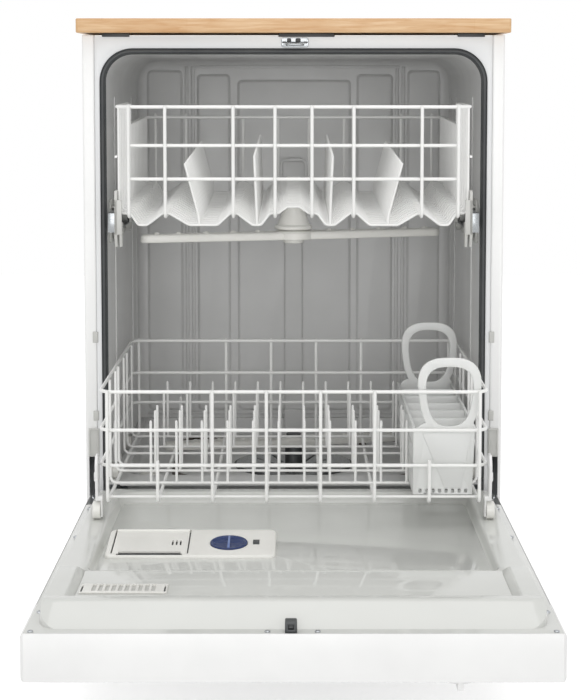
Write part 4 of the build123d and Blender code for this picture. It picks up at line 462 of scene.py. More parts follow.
class Workpiece:
    """One mesh on the bench: started from a primitive, shaped in edit mode, then finished."""

    def __init__(self, name: str) -> None:
        """Take the active object and name it."""
        self.item = bpy.context.object
        self.item.name = name

    @classmethod
    def block(cls, name: str, x: Span, y: Span, z: Span) -> "Workpiece":
        """Start from a box.

        Args:
            name: The piece's name.
            x: Its left and right limits in millimetres.
            y: Its front and rear limits.
            z: Its lower and upper limits.

        Returns:
            The box, ready to be shaped.
        """
        low, high = place(x[0], y[0], z[0]), place(x[1], y[1], z[1])
        clear_selection()
        bpy.ops.mesh.primitive_cube_add(size=1, location=(low + high) / 2)
        bpy.ops.transform.resize(value=high - low, center_override=(low + high) / 2)
        piece = cls(name)
        piece.settle()
        return piece

    @classmethod
    def disc(cls, name: str, centre: Point, radius: float, axis: Point = UP,
             corners: int = 48) -> "Workpiece":
        """Start from a filled circle.

        Args:
            name: The piece's name.
            centre: Its middle in millimetres.
            radius: Its radius.
            axis: The way it faces.
            corners: How many corners it has.

        Returns:
            The disc, ready to be shaped.
        """
        clear_selection()
        turn = Vector(axis).to_track_quat("Z", "Y").to_euler()
        bpy.ops.mesh.primitive_circle_add(vertices=corners, radius=radius / 1000, fill_type="NGON",
                                          location=place(*centre), rotation=turn)
        piece = cls(name)
        piece.settle()
        return piece

    @classmethod
    def rod(cls, name: str, foot: Point, radius: float, length: float, axis: Axis = Axis.Z,
            corners: int = 48) -> "Workpiece":
        """Start from a filled circle and draw it out.

        Args:
            name: The piece's name.
            foot: The middle of its first end in millimetres.
            radius: Its radius.
            length: Its length.
            axis: The way it runs.
            corners: How many corners its ends have.

        Returns:
            The closed rod.
        """
        way = [float(other is axis) for other in Axis]
        piece = cls.disc(name, foot, radius, way, corners)
        piece.whole()
        return piece.extrude(*(length * part for part in way))

    @classmethod
    def outline(cls, name: str, corners: Sequence[Point]) -> "Workpiece":
        """Start from a flat face through the given corners.

        Args:
            name: The piece's name.
            corners: The corners in millimetres, in order.

        Returns:
            The face, ready to be drawn out.
        """
        clear_selection()
        bpy.ops.mesh.primitive_circle_add(vertices=len(corners), radius=0.01, fill_type="NGON",
                                          location=place(*corners[0]))
        piece = cls(name)
        piece.settle()
        piece.edit()
        mesh = bmesh.from_edit_mesh(piece.item.data)
        mesh.verts.ensure_lookup_table()
        for vertex, corner in zip(mesh.verts, corners):
            vertex.co = place(*corner)
        mesh.normal_update()
        bmesh.update_edit_mesh(piece.item.data)
        bpy.ops.mesh.select_all(action="SELECT")
        return piece

    @classmethod
    def turned(cls, name: str, centre: Point, profile: Sequence[Span], axis: Point = UP,
               steps: int = 40) -> "Workpiece":
        """Start from half a profile and spin it right round its axis.

        Args:
            name: The piece's name.
            centre: A place on the axis in millimetres.
            profile: The radii and the heights over the centre, in order, of a closed outline.
            axis: The way the heights run.
            steps: How many facets a turn has.

        Returns:
            The turned piece, closed.
        """
        turn = Vector(axis).to_track_quat("Z", "Y")
        piece = cls.outline(name, [Vector(centre) + turn @ Vector((radius, 0, height))
                                   for radius, height in profile])
        bpy.ops.mesh.delete(type="ONLY_FACE")
        bpy.ops.mesh.select_all(action="SELECT")
        bpy.ops.mesh.spin(steps=steps, angle=math.tau, center=place(*centre), axis=axis)
        bpy.ops.mesh.select_all(action="SELECT")
        bpy.ops.mesh.remove_doubles(threshold=MERGE)
        bpy.ops.mesh.delete_loose()
        piece.close()
        return piece

    @classmethod
    def joined(cls, name: str, pieces: Iterable["Workpiece"]) -> "Workpiece":
        """Join several workpieces into one mesh."""
        clear_selection()
        items = [piece.item for piece in pieces]
        for item in items:
            item.select_set(True)
        bpy.context.view_layer.objects.active = items[0]
        bpy.ops.object.join()
        return cls(name)

    def take(self) -> None:
        """Make this the only selected object."""
        clear_selection()
        self.item.select_set(True)
        bpy.context.view_layer.objects.active = self.item

    def settle(self) -> None:
        """Put the object's place, turn and size into its mesh."""
        self.take()
        bpy.ops.object.transform_apply(location=True, rotation=True, scale=True)

    def edit(self) -> None:
        """Enter edit mode with nothing selected."""
        if self.item.mode != "EDIT":
            self.take()
            bpy.ops.object.mode_set(mode="EDIT")
        bpy.ops.mesh.select_all(action="DESELECT")

    def whole(self) -> None:
        """Enter edit mode with everything selected."""
        self.edit()
        bpy.ops.mesh.select_all(action="SELECT")

    def select(self, part: Part, test: Test) -> None:
        """Select, in edit mode, the parts that pass a test.

        Args:
            part: Whether corners, edges or faces are tested.
            test: Takes a part's middle in millimetres and its normal, or an edge's direction.
        """
        self.edit()
        bpy.ops.mesh.select_mode(type=part.value)
        mesh = bmesh.from_edit_mesh(self.item.data)
        if part is Part.FACES:
            for face in mesh.faces:
                face.select_set(test(millimetres(face.calc_center_median()), face.normal))
        elif part is Part.EDGES:
            for edge in mesh.edges:
                ends = [vertex.co for vertex in edge.verts]
                edge.select_set(test(millimetres((ends[0] + ends[1]) / 2), (ends[1] - ends[0]).normalized()))
        else:
            for vertex in mesh.verts:
                vertex.select_set(test(millimetres(vertex.co), vertex.normal))
        mesh.select_flush_mode()
        bmesh.update_edit_mesh(self.item.data)

    def extrude(self, x: float = 0.0, y: float = 0.0, z: float = 0.0) -> "Workpiece":
        """Draw the selected faces out by a distance in millimetres."""
        bpy.ops.mesh.extrude_region_move(TRANSFORM_OT_translate={"value": Vector((x, y, z)) / 1000})
        return self

    def move(self, x: float = 0.0, y: float = 0.0, z: float = 0.0) -> None:
        """Move what is selected by a distance in millimetres."""
        bpy.ops.transform.translate(value=Vector((x, y, z)) / 1000)

    def resize(self, centre: Point, x: float = 1.0, y: float = 1.0, z: float = 1.0) -> None:
        """Scale what is selected about a place."""
        bpy.ops.transform.resize(value=(x, y, z), center_override=place(*centre))

    def inset(self, width: float, depth: float = 0.0) -> None:
        """Inset the selected faces, and sink or raise them, in millimetres."""
        bpy.ops.mesh.inset(thickness=width / 1000, depth=depth / 1000)

    def round_off(self, radius: float, segments: int, test: Test) -> None:
        """Round the edges that pass a test with a radius in millimetres."""
        self.select(Part.EDGES, test)
        bpy.ops.mesh.bevel(offset=radius / 1000, segments=segments, profile=0.5)

    def modify(self, kind: str, **settings: object) -> None:
        """Add one modifier and apply it."""
        self.take()
        modifier = self.item.modifiers.new(kind.lower(), kind)
        for name, value in settings.items():
            setattr(modifier, name, value)
        bpy.ops.object.modifier_apply(modifier=modifier.name)

    def drive(self, route: Sequence[Point], radius: float | Sequence[float], bend_steps: int = 4,
              short: float = 0.0) -> tuple[Vector, Vector]:
        """Draw the selected face along the runs of a route and spin it round each bend.

        Args:
            route: The corners of the middle line in millimetres, the first where the face is.
            radius: The radius of the middle line at its bends, or one radius for each.
            bend_steps: How many facets a quarter bend has.
            short: How far from the route's end it stops.

        Returns:
            Where the face ends and the way it faces there.
        """
        points = [place(*point) for point in route]
        heading = (points[1] - points[0]).normalized()
        at = points[0]
        for index, (corner, after) in enumerate(zip(points[1:], points[2:])):
            onward = (after - corner).normalized()
            turn = heading.angle(onward)
            bend = (radius if isinstance(radius, (int, float)) else radius[index]) / 1000
            reach = bend * math.tan(turn / 2)
            self.extrude(*(corner - heading * reach - at) * 1000)
            toward = (onward - heading * onward.dot(heading)).normalized()
            steps = max(1, round(turn / (math.pi / 2) * bend_steps))
            bpy.ops.mesh.spin(steps=steps, angle=-turn, center=corner - heading * reach + toward * bend,
                              axis=heading.cross(toward))
            at = corner + onward * reach
            heading = onward
        end = points[-1] - heading * short / 1000
        self.extrude(*(end - at) * 1000)
        return end, heading

    def slice(self, through: Point, facing: Point, clear: bool = False) -> None:
        """Cut the mesh along a plane, in edit mode.

        Args:
            through: A place on the plane in millimetres.
            facing: The way the plane faces.
            clear: Whether what lies on that side is taken away and the cut closed.
        """
        self.whole()
        bpy.ops.mesh.bisect(plane_co=place(*through), plane_no=Vector(facing).normalized(),
                            use_fill=clear, clear_outer=clear)

    def tip(self, degrees: float, axis: Axis, centre: Point) -> None:
        """Turn the whole piece about an axis through a place, counter-clockwise as the axis points at you."""
        self.take()
        bpy.ops.transform.rotate(value=-math.radians(degrees), orient_axis=axis.name,
                                 center_override=place(*centre))
        self.settle()

    def cut(self, *tools: "Workpiece") -> None:
        """Cut other workpieces out of this one and throw them away."""
        for tool in tools:
            tool.close()
            self.modify("BOOLEAN", operation="DIFFERENCE", object=tool.item, solver="EXACT")
            bpy.data.objects.remove(tool.item)

    def soften(self, radius: float, segments: int = 2, angle: float = 35.0) -> "Workpiece":
        """Break every sharp edge with a small radius in millimetres."""
        self.modify("BEVEL", width=radius / 1000, segments=segments, limit_method="ANGLE",
                    angle_limit=math.radians(angle))
        return self

    def copy(self, x: float = 0.0, y: float = 0.0, z: float = 0.0) -> "Workpiece":
        """Copy the piece, mesh and all, to a place that many millimetres away."""
        self.take()
        bpy.ops.object.duplicate()
        bpy.ops.transform.translate(value=Vector((x, y, z)) / 1000)
        return Workpiece(self.item.name)

    def mirrored(self) -> "Workpiece":
        """Copy the piece to the other side of the machine."""
        twin = self.copy()
        bpy.ops.transform.resize(value=(-1, 1, 1), center_override=(0, 0, 0))
        twin.settle()
        return twin

    def close(self) -> None:
        """Merge doubles and turn every face outwards."""
        self.whole()
        bpy.ops.mesh.remove_doubles(threshold=MERGE)
        bpy.ops.mesh.normals_make_consistent(inside=False)
        clear_selection()

    def finish(self, finish: Finish, *nodes: str, like: str = "", angle: float = 32.0) -> None:
        """Settle, smooth and dress the piece, and hand it to its body.

        Args:
            finish: Its finish.
            nodes: The nodes of the frame that it stands for.
            like: The node whose body and material slot it shares, where it stands for none.
            angle: Edges sharper than this stay sharp, in degrees.
        """
        node = like or nodes[0]
        self.settle()
        self.close()
        self.take()
        bpy.ops.object.shade_smooth_by_angle(angle=math.radians(angle))
        self.item.data.materials.clear()
        self.item.data.materials.append(finish.material())
        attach(self.item, BODY_OF[node])
        if nodes:
            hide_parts(*nodes)
        log.info("%s: %d faces, %s", self.item.name, len(self.item.data.polygons), finish.name)


@dataclass(frozen=True)
class WireStock:
    """Round wire that is bent along a route."""

    diameter: float
    sides: int = 8
    bend_steps: int = 4

    @property
    def radius(self) -> float:
        """Half the wire's diameter."""
        return self.diameter / 2

    def bend(self, name: str, route: Sequence[Point], radius: float | Sequence[float] = 8.0,
             tips: bool = False) -> Workpiece:
        """Draw a wire along its runs and spin it round each bend.

        Args:
            name: The piece's name.
            route: The corners of the wire's middle line in millimetres.
            radius: The radius of the middle line at its bends, or one radius for each.
            tips: Whether the last end is rounded.

        Returns:
            The bent wire.
        """
        heading = Vector(route[1]) - Vector(route[0])
        wire = Workpiece.disc(name, route[0], self.radius, tuple(heading), self.sides)
        wire.whole()
        end, heading = wire.drive(route, radius, self.bend_steps, 0.4 * self.diameter if tips else 0.0)
        if tips:
            for length, size in ((0.25, 0.82), (0.15, 0.55)):
                wire.extrude(*heading * length * self.diameter)
                end += heading * length * self.diameter / 1000
                bpy.ops.transform.resize(value=(size, size, size), center_override=end)
        clear_selection()
        return wire


# Racks


def even_places(first: float, last: float, count: int) -> list[float]:
    """Give evenly spaced values from first to last."""
    return [first + (last - first) * step / (count - 1) for step in range(count)]


@dataclass(frozen=True)
class Rack:
    """What both racks share: their ends, their wire and how their rims and tines are made."""

    front: float
    rear: float
    half: float
    corner: float = 18.0
    frame_wire: WireStock = WireStock(4.8, 10)
    fill_wire: WireStock = WireStock(3.8, 8)

    @property
    def rim_front(self) -> float:
        """The depth of the rim's front wire."""
        return self.front + 1.5 * self.frame_wire.diameter

    @property
    def rim_rear(self) -> float:
        """The depth of the rim's rear wire."""
        return self.rear - 1.5 * self.frame_wire.diameter

    def side_line(self) -> list[tuple[float, float]]:
        """Give the depths and heights of the rim's corners along one side."""
        raise NotImplementedError

    def hoop(self, name: str, line: Sequence[tuple[float, float]], step_bend: float = 5.0) -> Workpiece:
        """Bend a hoop that runs round all four sides.

        Args:
            name: The piece's name.
            line: The depths and heights of its corners along a side.
            step_bend: The bend radius where a side steps in height.

        Returns:
            The closed hoop.
        """
        right = [(self.half, y, z) for y, z in line]
        left = [(-x, y, z) for x, y, z in reversed(right)]
        radii = [self.corner] + [step_bend] * (len(line) - 2) + [self.corner]
        route = [(0, line[0][0], line[0][1])] + right + left + [(0, line[0][0], line[0][1])]
        return self.frame_wire.bend(name, route, radii + radii)

    def cross_rail(self, y: float, z: float, reach: float) -> Workpiece:
        """Cut a straight wire that runs from side to side."""
        return self.frame_wire.bend("cross_rail", [(-reach, y, z), (reach, y, z)], tips=True)

    def keel(self, x: float, points: Sequence[tuple[float, float]]) -> Workpiece:
        """Bend a wire that runs down the front, under the floor and up the rear.

        Args:
            x: Its place from side to side.
            points: The depths and heights of its corners.

        Returns:
            The bent wire.
        """
        return self.frame_wire.bend("keel", [(x, y, z) for y, z in points], 7.0, tips=True)


@dataclass(frozen=True)
class UpperRack(Rack):
    """The upper rack: a rim that steps down, a wavy floor that rises, four rows of tines."""

    front: float = -124.0
    rear: float = 371.0
    half: float = 250.5
    side: float = 247.0
    top_front: float = 786.0
    top_step: float = 789.0
    step: float = 68.0
    low_step: float = 757.0
    top_rear: float = 763.5
    guard: float = 716.0
    rails: tuple[float, ...] = (731.7, 684.4)
    uprights: tuple[float, ...] = (26.0, 85.0, 181.0, 232.5)
    valley: float = 619.0
    peak: float = 635.5
    hump: float = 645.0
    rise: float = 18.0
    wires: int = 20
    margin: float = 14.0
    tines: tuple[tuple[float, float, float], ...] = ((52.0, 3.5, 97.0), (134.0, 20.0, 86.0))

    def wire_places(self) -> list[float]:
        """Give the depth of each floor wire."""
        return even_places(self.front + self.margin, self.rear - self.margin, self.wires)

    def lift(self, y: float) -> float:
        """Give how far the floor has risen at a depth."""
        return self.rise * (y - self.front - self.margin) / (self.rear - self.front - 2 * self.margin)

    def side_line(self) -> list[tuple[float, float]]:
        """Give the stepped rim's corners."""
        return [(self.rim_front, self.top_front), (self.step, self.top_step), (self.step + 3, self.low_step),
                (self.rim_rear, self.top_rear)]

    def rail_height(self, y: float) -> float:
        """Give the rim's height at a depth."""
        line = self.side_line()
        for (y0, z0), (y1, z1) in zip(line, line[1:]):
            if y <= y1:
                return z0 + (z1 - z0) * (max(y, y0) - y0) / (y1 - y0)
        return line[-1][1]

    def wave(self) -> list[Point]:
        """Give the route of one floor wire, from the top of one side to the other."""
        half = [(9, self.hump), (22, self.peak), (34, self.peak), (46, self.valley), (58, self.valley),
                (80, self.peak), (90, self.peak), (108, self.valley), (148, self.valley), (176, self.peak),
                (186, self.peak), (208, self.valley), (220, self.valley), (231, self.peak),
                (self.side, self.peak), (self.side, self.guard + 10)]
        right = [(x, self.front + self.margin, z) for x, z in half]
        return [(-x, y, z) for x, y, z in reversed(right)] + right

    def floor(self) -> list[Workpiece]:
        """Bend one floor wire, then copy it to each place and draw its ends up to the rim."""
        first = self.fill_wire.bend("floor_wire", self.wave(), 6.0)
        made = []
        for y in self.wire_places():
            wire = first.copy(y=y - self.front - self.margin, z=self.lift(y))
            wire.select(Part.CORNERS, lambda spot, _: spot.z > self.guard + 8)
            wire.move(z=self.rail_height(y) - self.guard - 10 - self.lift(y))
            made.append(wire)
        clear_selection()
        bpy.data.objects.remove(first.item)
        return made

    def keels(self) -> list[Workpiece]:
        """Bend the eight wires that carry the floor and stand up at both ends."""
        under = self.peak - self.fill_wire.radius - self.frame_wire.radius
        made, wire = [], self.frame_wire.radius
        for x in self.uprights:
            back = self.top_rear + (2 if x < 100 else 6)
            points = [(self.front + wire, self.top_front + 2), (self.front + wire, under),
                      (self.front + self.margin, under), (self.rear - self.margin, under + self.rise),
                      (self.rear - wire, under + self.rise), (self.rear - wire, back)]
            made += [self.keel(side * x, points) for side in (-1, 1)]
        return made

    def guards(self) -> list[Workpiece]:
        """Cut the two outer wires that run along the sides, with rounded ends."""
        x, ends = self.side + 3.6, (self.front + 8, self.rear - 8)
        return [self.fill_wire.bend("guard", [(side * x, y, self.guard) for y in ends], tips=True)
                for side in (-1, 1)]

    def build(self) -> None:
        """Bend the rack's wires and its tines, and dress both."""
        reach = self.uprights[-1] + self.frame_wire.radius
        wires = [self.hoop("rim", self.side_line())] + self.keels() + self.guards() + self.floor()
        wires += [self.cross_rail(self.rim_front, z, reach) for z in self.rails]
        Workpiece.joined("upper_rack_wires", wires).finish(WIRE_COAT, "upper_rack_basket")
        made, start = [], self.front + self.margin
        for x, lean, height in self.tines:
            tip = self.valley + self.fill_wire.radius + height
            route = [(x, start, self.valley + 1), (x, start, self.valley + 12), (x + lean, start, tip)]
            first = self.fill_wire.bend("tine", route, 30.0, tips=True)
            other = first.mirrored()
            for y in self.wire_places()[1:-1]:
                made += [tine.copy(y=y - self.front - self.margin, z=self.lift(y)) for tine in (first, other)]
            made += [first, other]
        Workpiece.joined("upper_rack_tine_rows", made).finish(WIRE_COAT, "upper_rack_tines")


@dataclass(frozen=True)
class LowerRack(Rack):
    """The lower rack: three hoops, wires that run up both sides, and a field of tines."""

    front: float = -230.0
    rear: float = 272.0
    half: float = 265.0
    top: float = 399.0
    bottom: float = 245.0
    hoops: tuple[float, ...] = (346.0, 297.0)
    cross_wires: tuple[float, ...] = (-129.0, -49.0, -8.0, 74.0, 124.0, 205.0)
    bare_wire: float = 74.0
    end_bars: tuple[float, ...] = (-214.0, 256.0)
    keels: tuple[float, ...] = (37.0, 111.0, 254.6)
    short_keel: float = 186.0
    tine_pitch: float = 36.4
    tine_columns: int = 11
    first_tine: float = -203.0
    tine_height: float = 88.0

    @property
    def floor_height(self) -> float:
        """The height of the floor wires' middle line."""
        return self.bottom + self.frame_wire.diameter + self.fill_wire.radius

    def frame_wires(self) -> list[Workpiece]:
        """Bend the hoops and the wires that run under the floor and stand up at both ends."""
        made = []
        for z in (self.top,) + self.hoops:
            made.append(self.hoop("hoop", [(self.rim_front, z), (self.rim_rear, z)]))
        wire = self.frame_wire.radius
        under = self.bottom + wire
        ends = (self.front + wire, self.rear - wire)
        for x in self.keels + (self.short_keel,):
            high = 305.0 if x == self.short_keel else self.top + 3
            points = [(ends[0], high), (ends[0], under), (ends[1], under), (ends[1], high)]
            made += [self.keel(side * x, points) for side in (-1, 1)]
        return made

    def floor_wires(self) -> list[Workpiece]:
        """Bend one wire up both sides and copy it, and cut the two bars near the ends."""
        side = self.half - 4.3
        y, z = self.cross_wires[0], self.floor_height
        first = self.fill_wire.bend("floor_wire", [(-side, y, self.top + 1), (-side, y, z), (side, y, z),
                                                   (side, y, self.top + 1)], 9.0)
        made = [first] + [first.copy(y=other - y) for other in self.cross_wires[1:]]
        for bar in self.end_bars:
            made.append(self.fill_wire.bend("end_bar", [(-256, bar, z), (256, bar, z)], tips=True))
        return made

    def build(self) -> None:
        """Bend the rack's wires and its tines, and dress both."""
        wires = self.frame_wires() + self.floor_wires()
        Workpiece.joined("lower_rack_wires", wires).finish(WIRE_COAT, "lower_rack_basket")
        rows = [y for y in self.cross_wires if y != self.bare_wire]
        z = self.floor_height
        tip = z + self.fill_wire.radius + self.tine_height
        route = [(self.first_tine, rows[0], height) for height in (z, tip)]
        first = self.fill_wire.bend("tine", route, tips=True)
        made = [first] + [first.copy(x=self.tine_pitch * column, y=y - rows[0])
                          for column in range(self.tine_columns) for y in rows if column or y != rows[0]]
        Workpiece.joined("lower_rack_tine_rows", made).finish(WIRE_COAT, "lower_rack_tines")


# Cabinet and tub


@dataclass(frozen=True)
class Worktop:
    """The thick maple top with eased edges."""

    half: float = 318.5
    front: float = -14.0
    rear: float = 626.0
    bottom: float = 893.0
    top: float = 914.0

    def build(self) -> None:
        """Round the block's corners, then ease its long edges."""
        top = Workpiece.block("maple_worktop", (-self.half, self.half), (self.front, self.rear),
                              (self.bottom, self.top))
        top.round_off(4.0, 4, along(Axis.Z))
        top.soften(1.8, 3)
        top.finish(MAPLE, "worktop")


@dataclass(frozen=True)
class Tub:
    """The moulded tub: soft corners, ledges for the wheels, a sunk floor and a panelled back."""

    half: float = 276.5
    top: float = 861.6
    ledge: float = 220.5
    front: float = 6.0
    back: float = 540.0
    corner: float = 40.0
    back_bend: float = 14.0
    wall: float = 3.0
    floor: float = 192.0
    basin_half: float = 256.5
    basin: Span = (65.0, 528.0)
    sump: tuple[float, float] = (270.0, 88.0)
    strip: Span = (262.9, 275.4)
    track: float = 222.5
    pads: tuple[tuple[float, float, float, float], ...] = (
        (-262.0, -196.0, 232.0, 845.0), (-173.0, -111.0, 232.0, 838.0), (-101.0, 103.5, 232.0, 828.0),
        (111.0, 178.0, 232.0, 838.0), (201.0, 262.0, 232.0, 845.0))
    ribs: tuple[float, ...] = (-190.0, -179.0, 184.0, 195.0)
    float_boss: tuple[float, float] = (-226.0, 134.0)

    def shell(self) -> Workpiece:
        """Sink the basin into a box, round its corners, take its front off and give it a wall."""
        tub = Workpiece.block("tub_shell", (-self.half, self.half), (self.front, self.back),
                              (self.ledge, self.top))
        tub.select(Part.FACES, looking(Axis.Y, -1))
        bpy.ops.mesh.delete(type="FACE")
        tub.select(Part.FACES, looking(Axis.Z, -1))
        margin = self.half - self.basin_half
        tub.inset(margin)
        for edge, shift in ((self.front + margin, self.basin[0] - self.front - margin),
                            (self.back - margin, self.basin[1] - self.back + margin)):
            tub.select(Part.CORNERS, lambda spot, _: abs(spot.x) < self.half - 5 and spot.z < self.ledge + 1
                       and abs(spot.y - edge) < 5)
            tub.move(y=shift)
        tub.select(Part.FACES, looking(Axis.Z, -1, lambda spot: abs(spot.x) < 5 and 200 < spot.y < 400))
        tub.extrude(z=self.floor - self.ledge)
        tub.round_off(28.0, 6, along(Axis.Z, lambda spot: spot.z < self.ledge))
        tub.round_off(8.0, 3, level(lambda spot: spot.z < self.floor + 1))
        tub.round_off(3.0, 3, level(lambda spot: abs(spot.z - self.ledge) < 1
                                    and abs(spot.x) < self.basin_half + 0.5
                                    and self.basin[0] - 1 < spot.y < self.basin[1] + 1))
        tub.round_off(self.corner, 12, along(Axis.Y, lambda spot: spot.z > self.top - 1))
        tub.round_off(self.back_bend, 5, lambda spot, _: spot.y > self.back - 1 and spot.z > self.ledge + 1)
        tub.close()
        tub.modify("SOLIDIFY", thickness=self.wall / 1000, offset=1.0)
        y, radius = self.sump
        tub.cut(Workpiece.rod("well", (0, y, self.floor - 20), radius, 40, corners=64))
        return tub

    def pad(self, left: float, right: float, low: float, high: float) -> Workpiece:
        """Raise one panel with drafted edges on the back wall."""
        pad = Workpiece.block("pad", (left, right), (self.back - 4.0, self.back + 1), (low, high))
        pad.round_off(8.0, 4, along(Axis.Y))
        pad.select(Part.FACES, looking(Axis.Y, -1))
        middle = ((left + right) / 2, self.back - 4.0, (low + high) / 2)
        pad.resize(middle, x=1 - 10 / (right - left), z=1 - 10 / (high - low))
        return pad.soften(1.5, 3, 25.0)

    def rib(self, x: float) -> Workpiece:
        """Raise one round-backed rib on the back wall."""
        rib = Workpiece.block("rib", (x - 3.2, x + 3.2), (self.back - 3, self.back + 1), (232.0, 850.0))
        rib.round_off(2.4, 4, lambda spot, _: spot.y < self.back - 2)
        return rib

    def frame_lines(self) -> list[Workpiece]:
        """Raise the step over the middle panels and the cross line behind the upper rack."""
        return [Workpiece.block("line", x, (self.back - 3, self.back + 1), z).soften(1.4, 3)
                for x, z in (((-180.0, 188.0), (847.0, 852.0)), ((-262.0, 262.0), (226.0, 230.0)))]

    def flutes(self) -> list[Workpiece]:
        """Raise shallow upright flutes on both side walls, towards the back."""
        made = []
        for y, width in ((118.0, 5.0), (402.0, 5.0), (478.0, 26.0)):
            flute = Workpiece.block("flute", (-self.half - 1, -self.half + 1.6), (y, y + width),
                                    (300.0, 800.0))
            flute.select(Part.FACES, looking(Axis.X))
            flute.resize((0, y + width / 2, 550), y=0.7, z=0.99)
            flute.soften(0.6, 2)
            made += [flute, flute.mirrored()]
        return made

    def details(self) -> list[Workpiece]:
        """Add the wheel strips, the front lip and the float's boss."""
        strip = Workpiece.block("strip", self.strip, (self.front, self.basin[1]),
                                (self.ledge - 1, self.track)).soften(0.7, 2)
        lip = Workpiece.block("lip", (-260.5, 260.5), (0.0, self.front + 3),
                              (self.ledge - self.wall, self.track)).soften(1.0, 2)
        boss = Workpiece.turned("boss", (*self.float_boss, self.floor),
                                ((4.2, -1), (9, -1), (8.5, 3), (7.5, 4), (4.6, 4), (4.2, 3.4)), steps=24)
        return [strip, strip.mirrored(), lip, boss]

    def build(self) -> None:
        """Mould the shell and its back wall."""
        pieces = [self.shell()] + [self.pad(*pad) for pad in self.pads] + [self.rib(x) for x in self.ribs]
        pieces += self.frame_lines() + self.flutes() + self.details()
        Workpiece.joined("tub_moulding", pieces).finish(TUB_PLASTIC, "tub")


@dataclass(frozen=True)
class WaterDuct:
    """The water duct up the tub's back wall, its framed top and its docking nozzle."""

    front: float = 527.0
    back: float = 537.5
    dock: tuple[float, float] = (495.0, 612.0)
    foot: Span = (192.0, 238.5)
    side: tuple[tuple[float, float], ...] = ((16.0, 220.5), (16.0, 540.0), (23.0, 556.0), (23.0, 672.0),
                                             (21.5, 679.0), (17.5, 685.0), (11.5, 689.0), (5.0, 690.0))

    def build(self) -> None:
        """Draw the duct out of its outline and add its frame, foot and nozzle."""
        outline = [(x, self.back, z) for x, z in self.side]
        outline += [(-x, y, z) for x, y, z in reversed(outline)]
        duct = Workpiece.outline("duct", outline).extrude(y=self.front - self.back).soften(2.6, 4, 50.0)
        frame = Workpiece.block("frame", (-24.0, 24.0), (self.front - 3.5, self.front + 1), (644.0, 687.0))
        frame.round_off(10.0, 5, along(Axis.Y))
        frame.select(Part.FACES, looking(Axis.Y, -1))
        frame.inset(4.0)
        frame.inset(1.5, -3.0)
        frame.soften(0.8, 2)
        foot = Workpiece.block("foot", (-16.0, 16.0), (self.front - 12, self.front + 1), self.foot)
        foot.soften(2.5, 3)
        y, z = self.dock
        length = self.front - y
        nozzle = Workpiece.turned("nozzle", (0, y, z), (
            (11, length + 1), (19, length + 1), (19, length - 3), (15.6, length - 6), (15, 4), (14, 0.5),
            (13, 0), (11.5, 0), (11, 0.6)), (0, 1, 0), 32)
        Workpiece.joined("water_duct", [duct, frame, foot, nozzle]).finish(TUB_PLASTIC, "feed_tube")


@dataclass(frozen=True)
class DoorSeal:
    """The rubber seal round the opening: a flat foot and a soft bulb."""

    middle: float = 281.0
    top: float = 866.1
    bend: float = 44.5
    end: float = 228.5
    section: tuple[tuple[float, float], ...] = (
        (-4.5, 6.0), (-4.5, 2.8), (-3.8, 2.0), (-2.6, 1.4), (-2.2, -1.6), (-1.6, -3.2), (-0.3, -4.0),
        (1.2, -3.6), (2.2, -2.2), (2.6, 1.2), (3.8, 1.8), (4.5, 2.8), (4.5, 6.0))

    def build(self) -> None:
        """Draw the section up one side, over the top and down the other."""
        seal = Workpiece.outline("door_seal", [(-self.middle + x, y, self.end) for x, y in self.section])
        route = [(-self.middle, 0, self.end), (-self.middle, 0, self.top), (self.middle, 0, self.top),
                 (self.middle, 0, self.end)]
        seal.drive(route, self.bend, 12)
        seal.finish(DOOR_RUBBER, "door_gasket", angle=50.0)


# Door


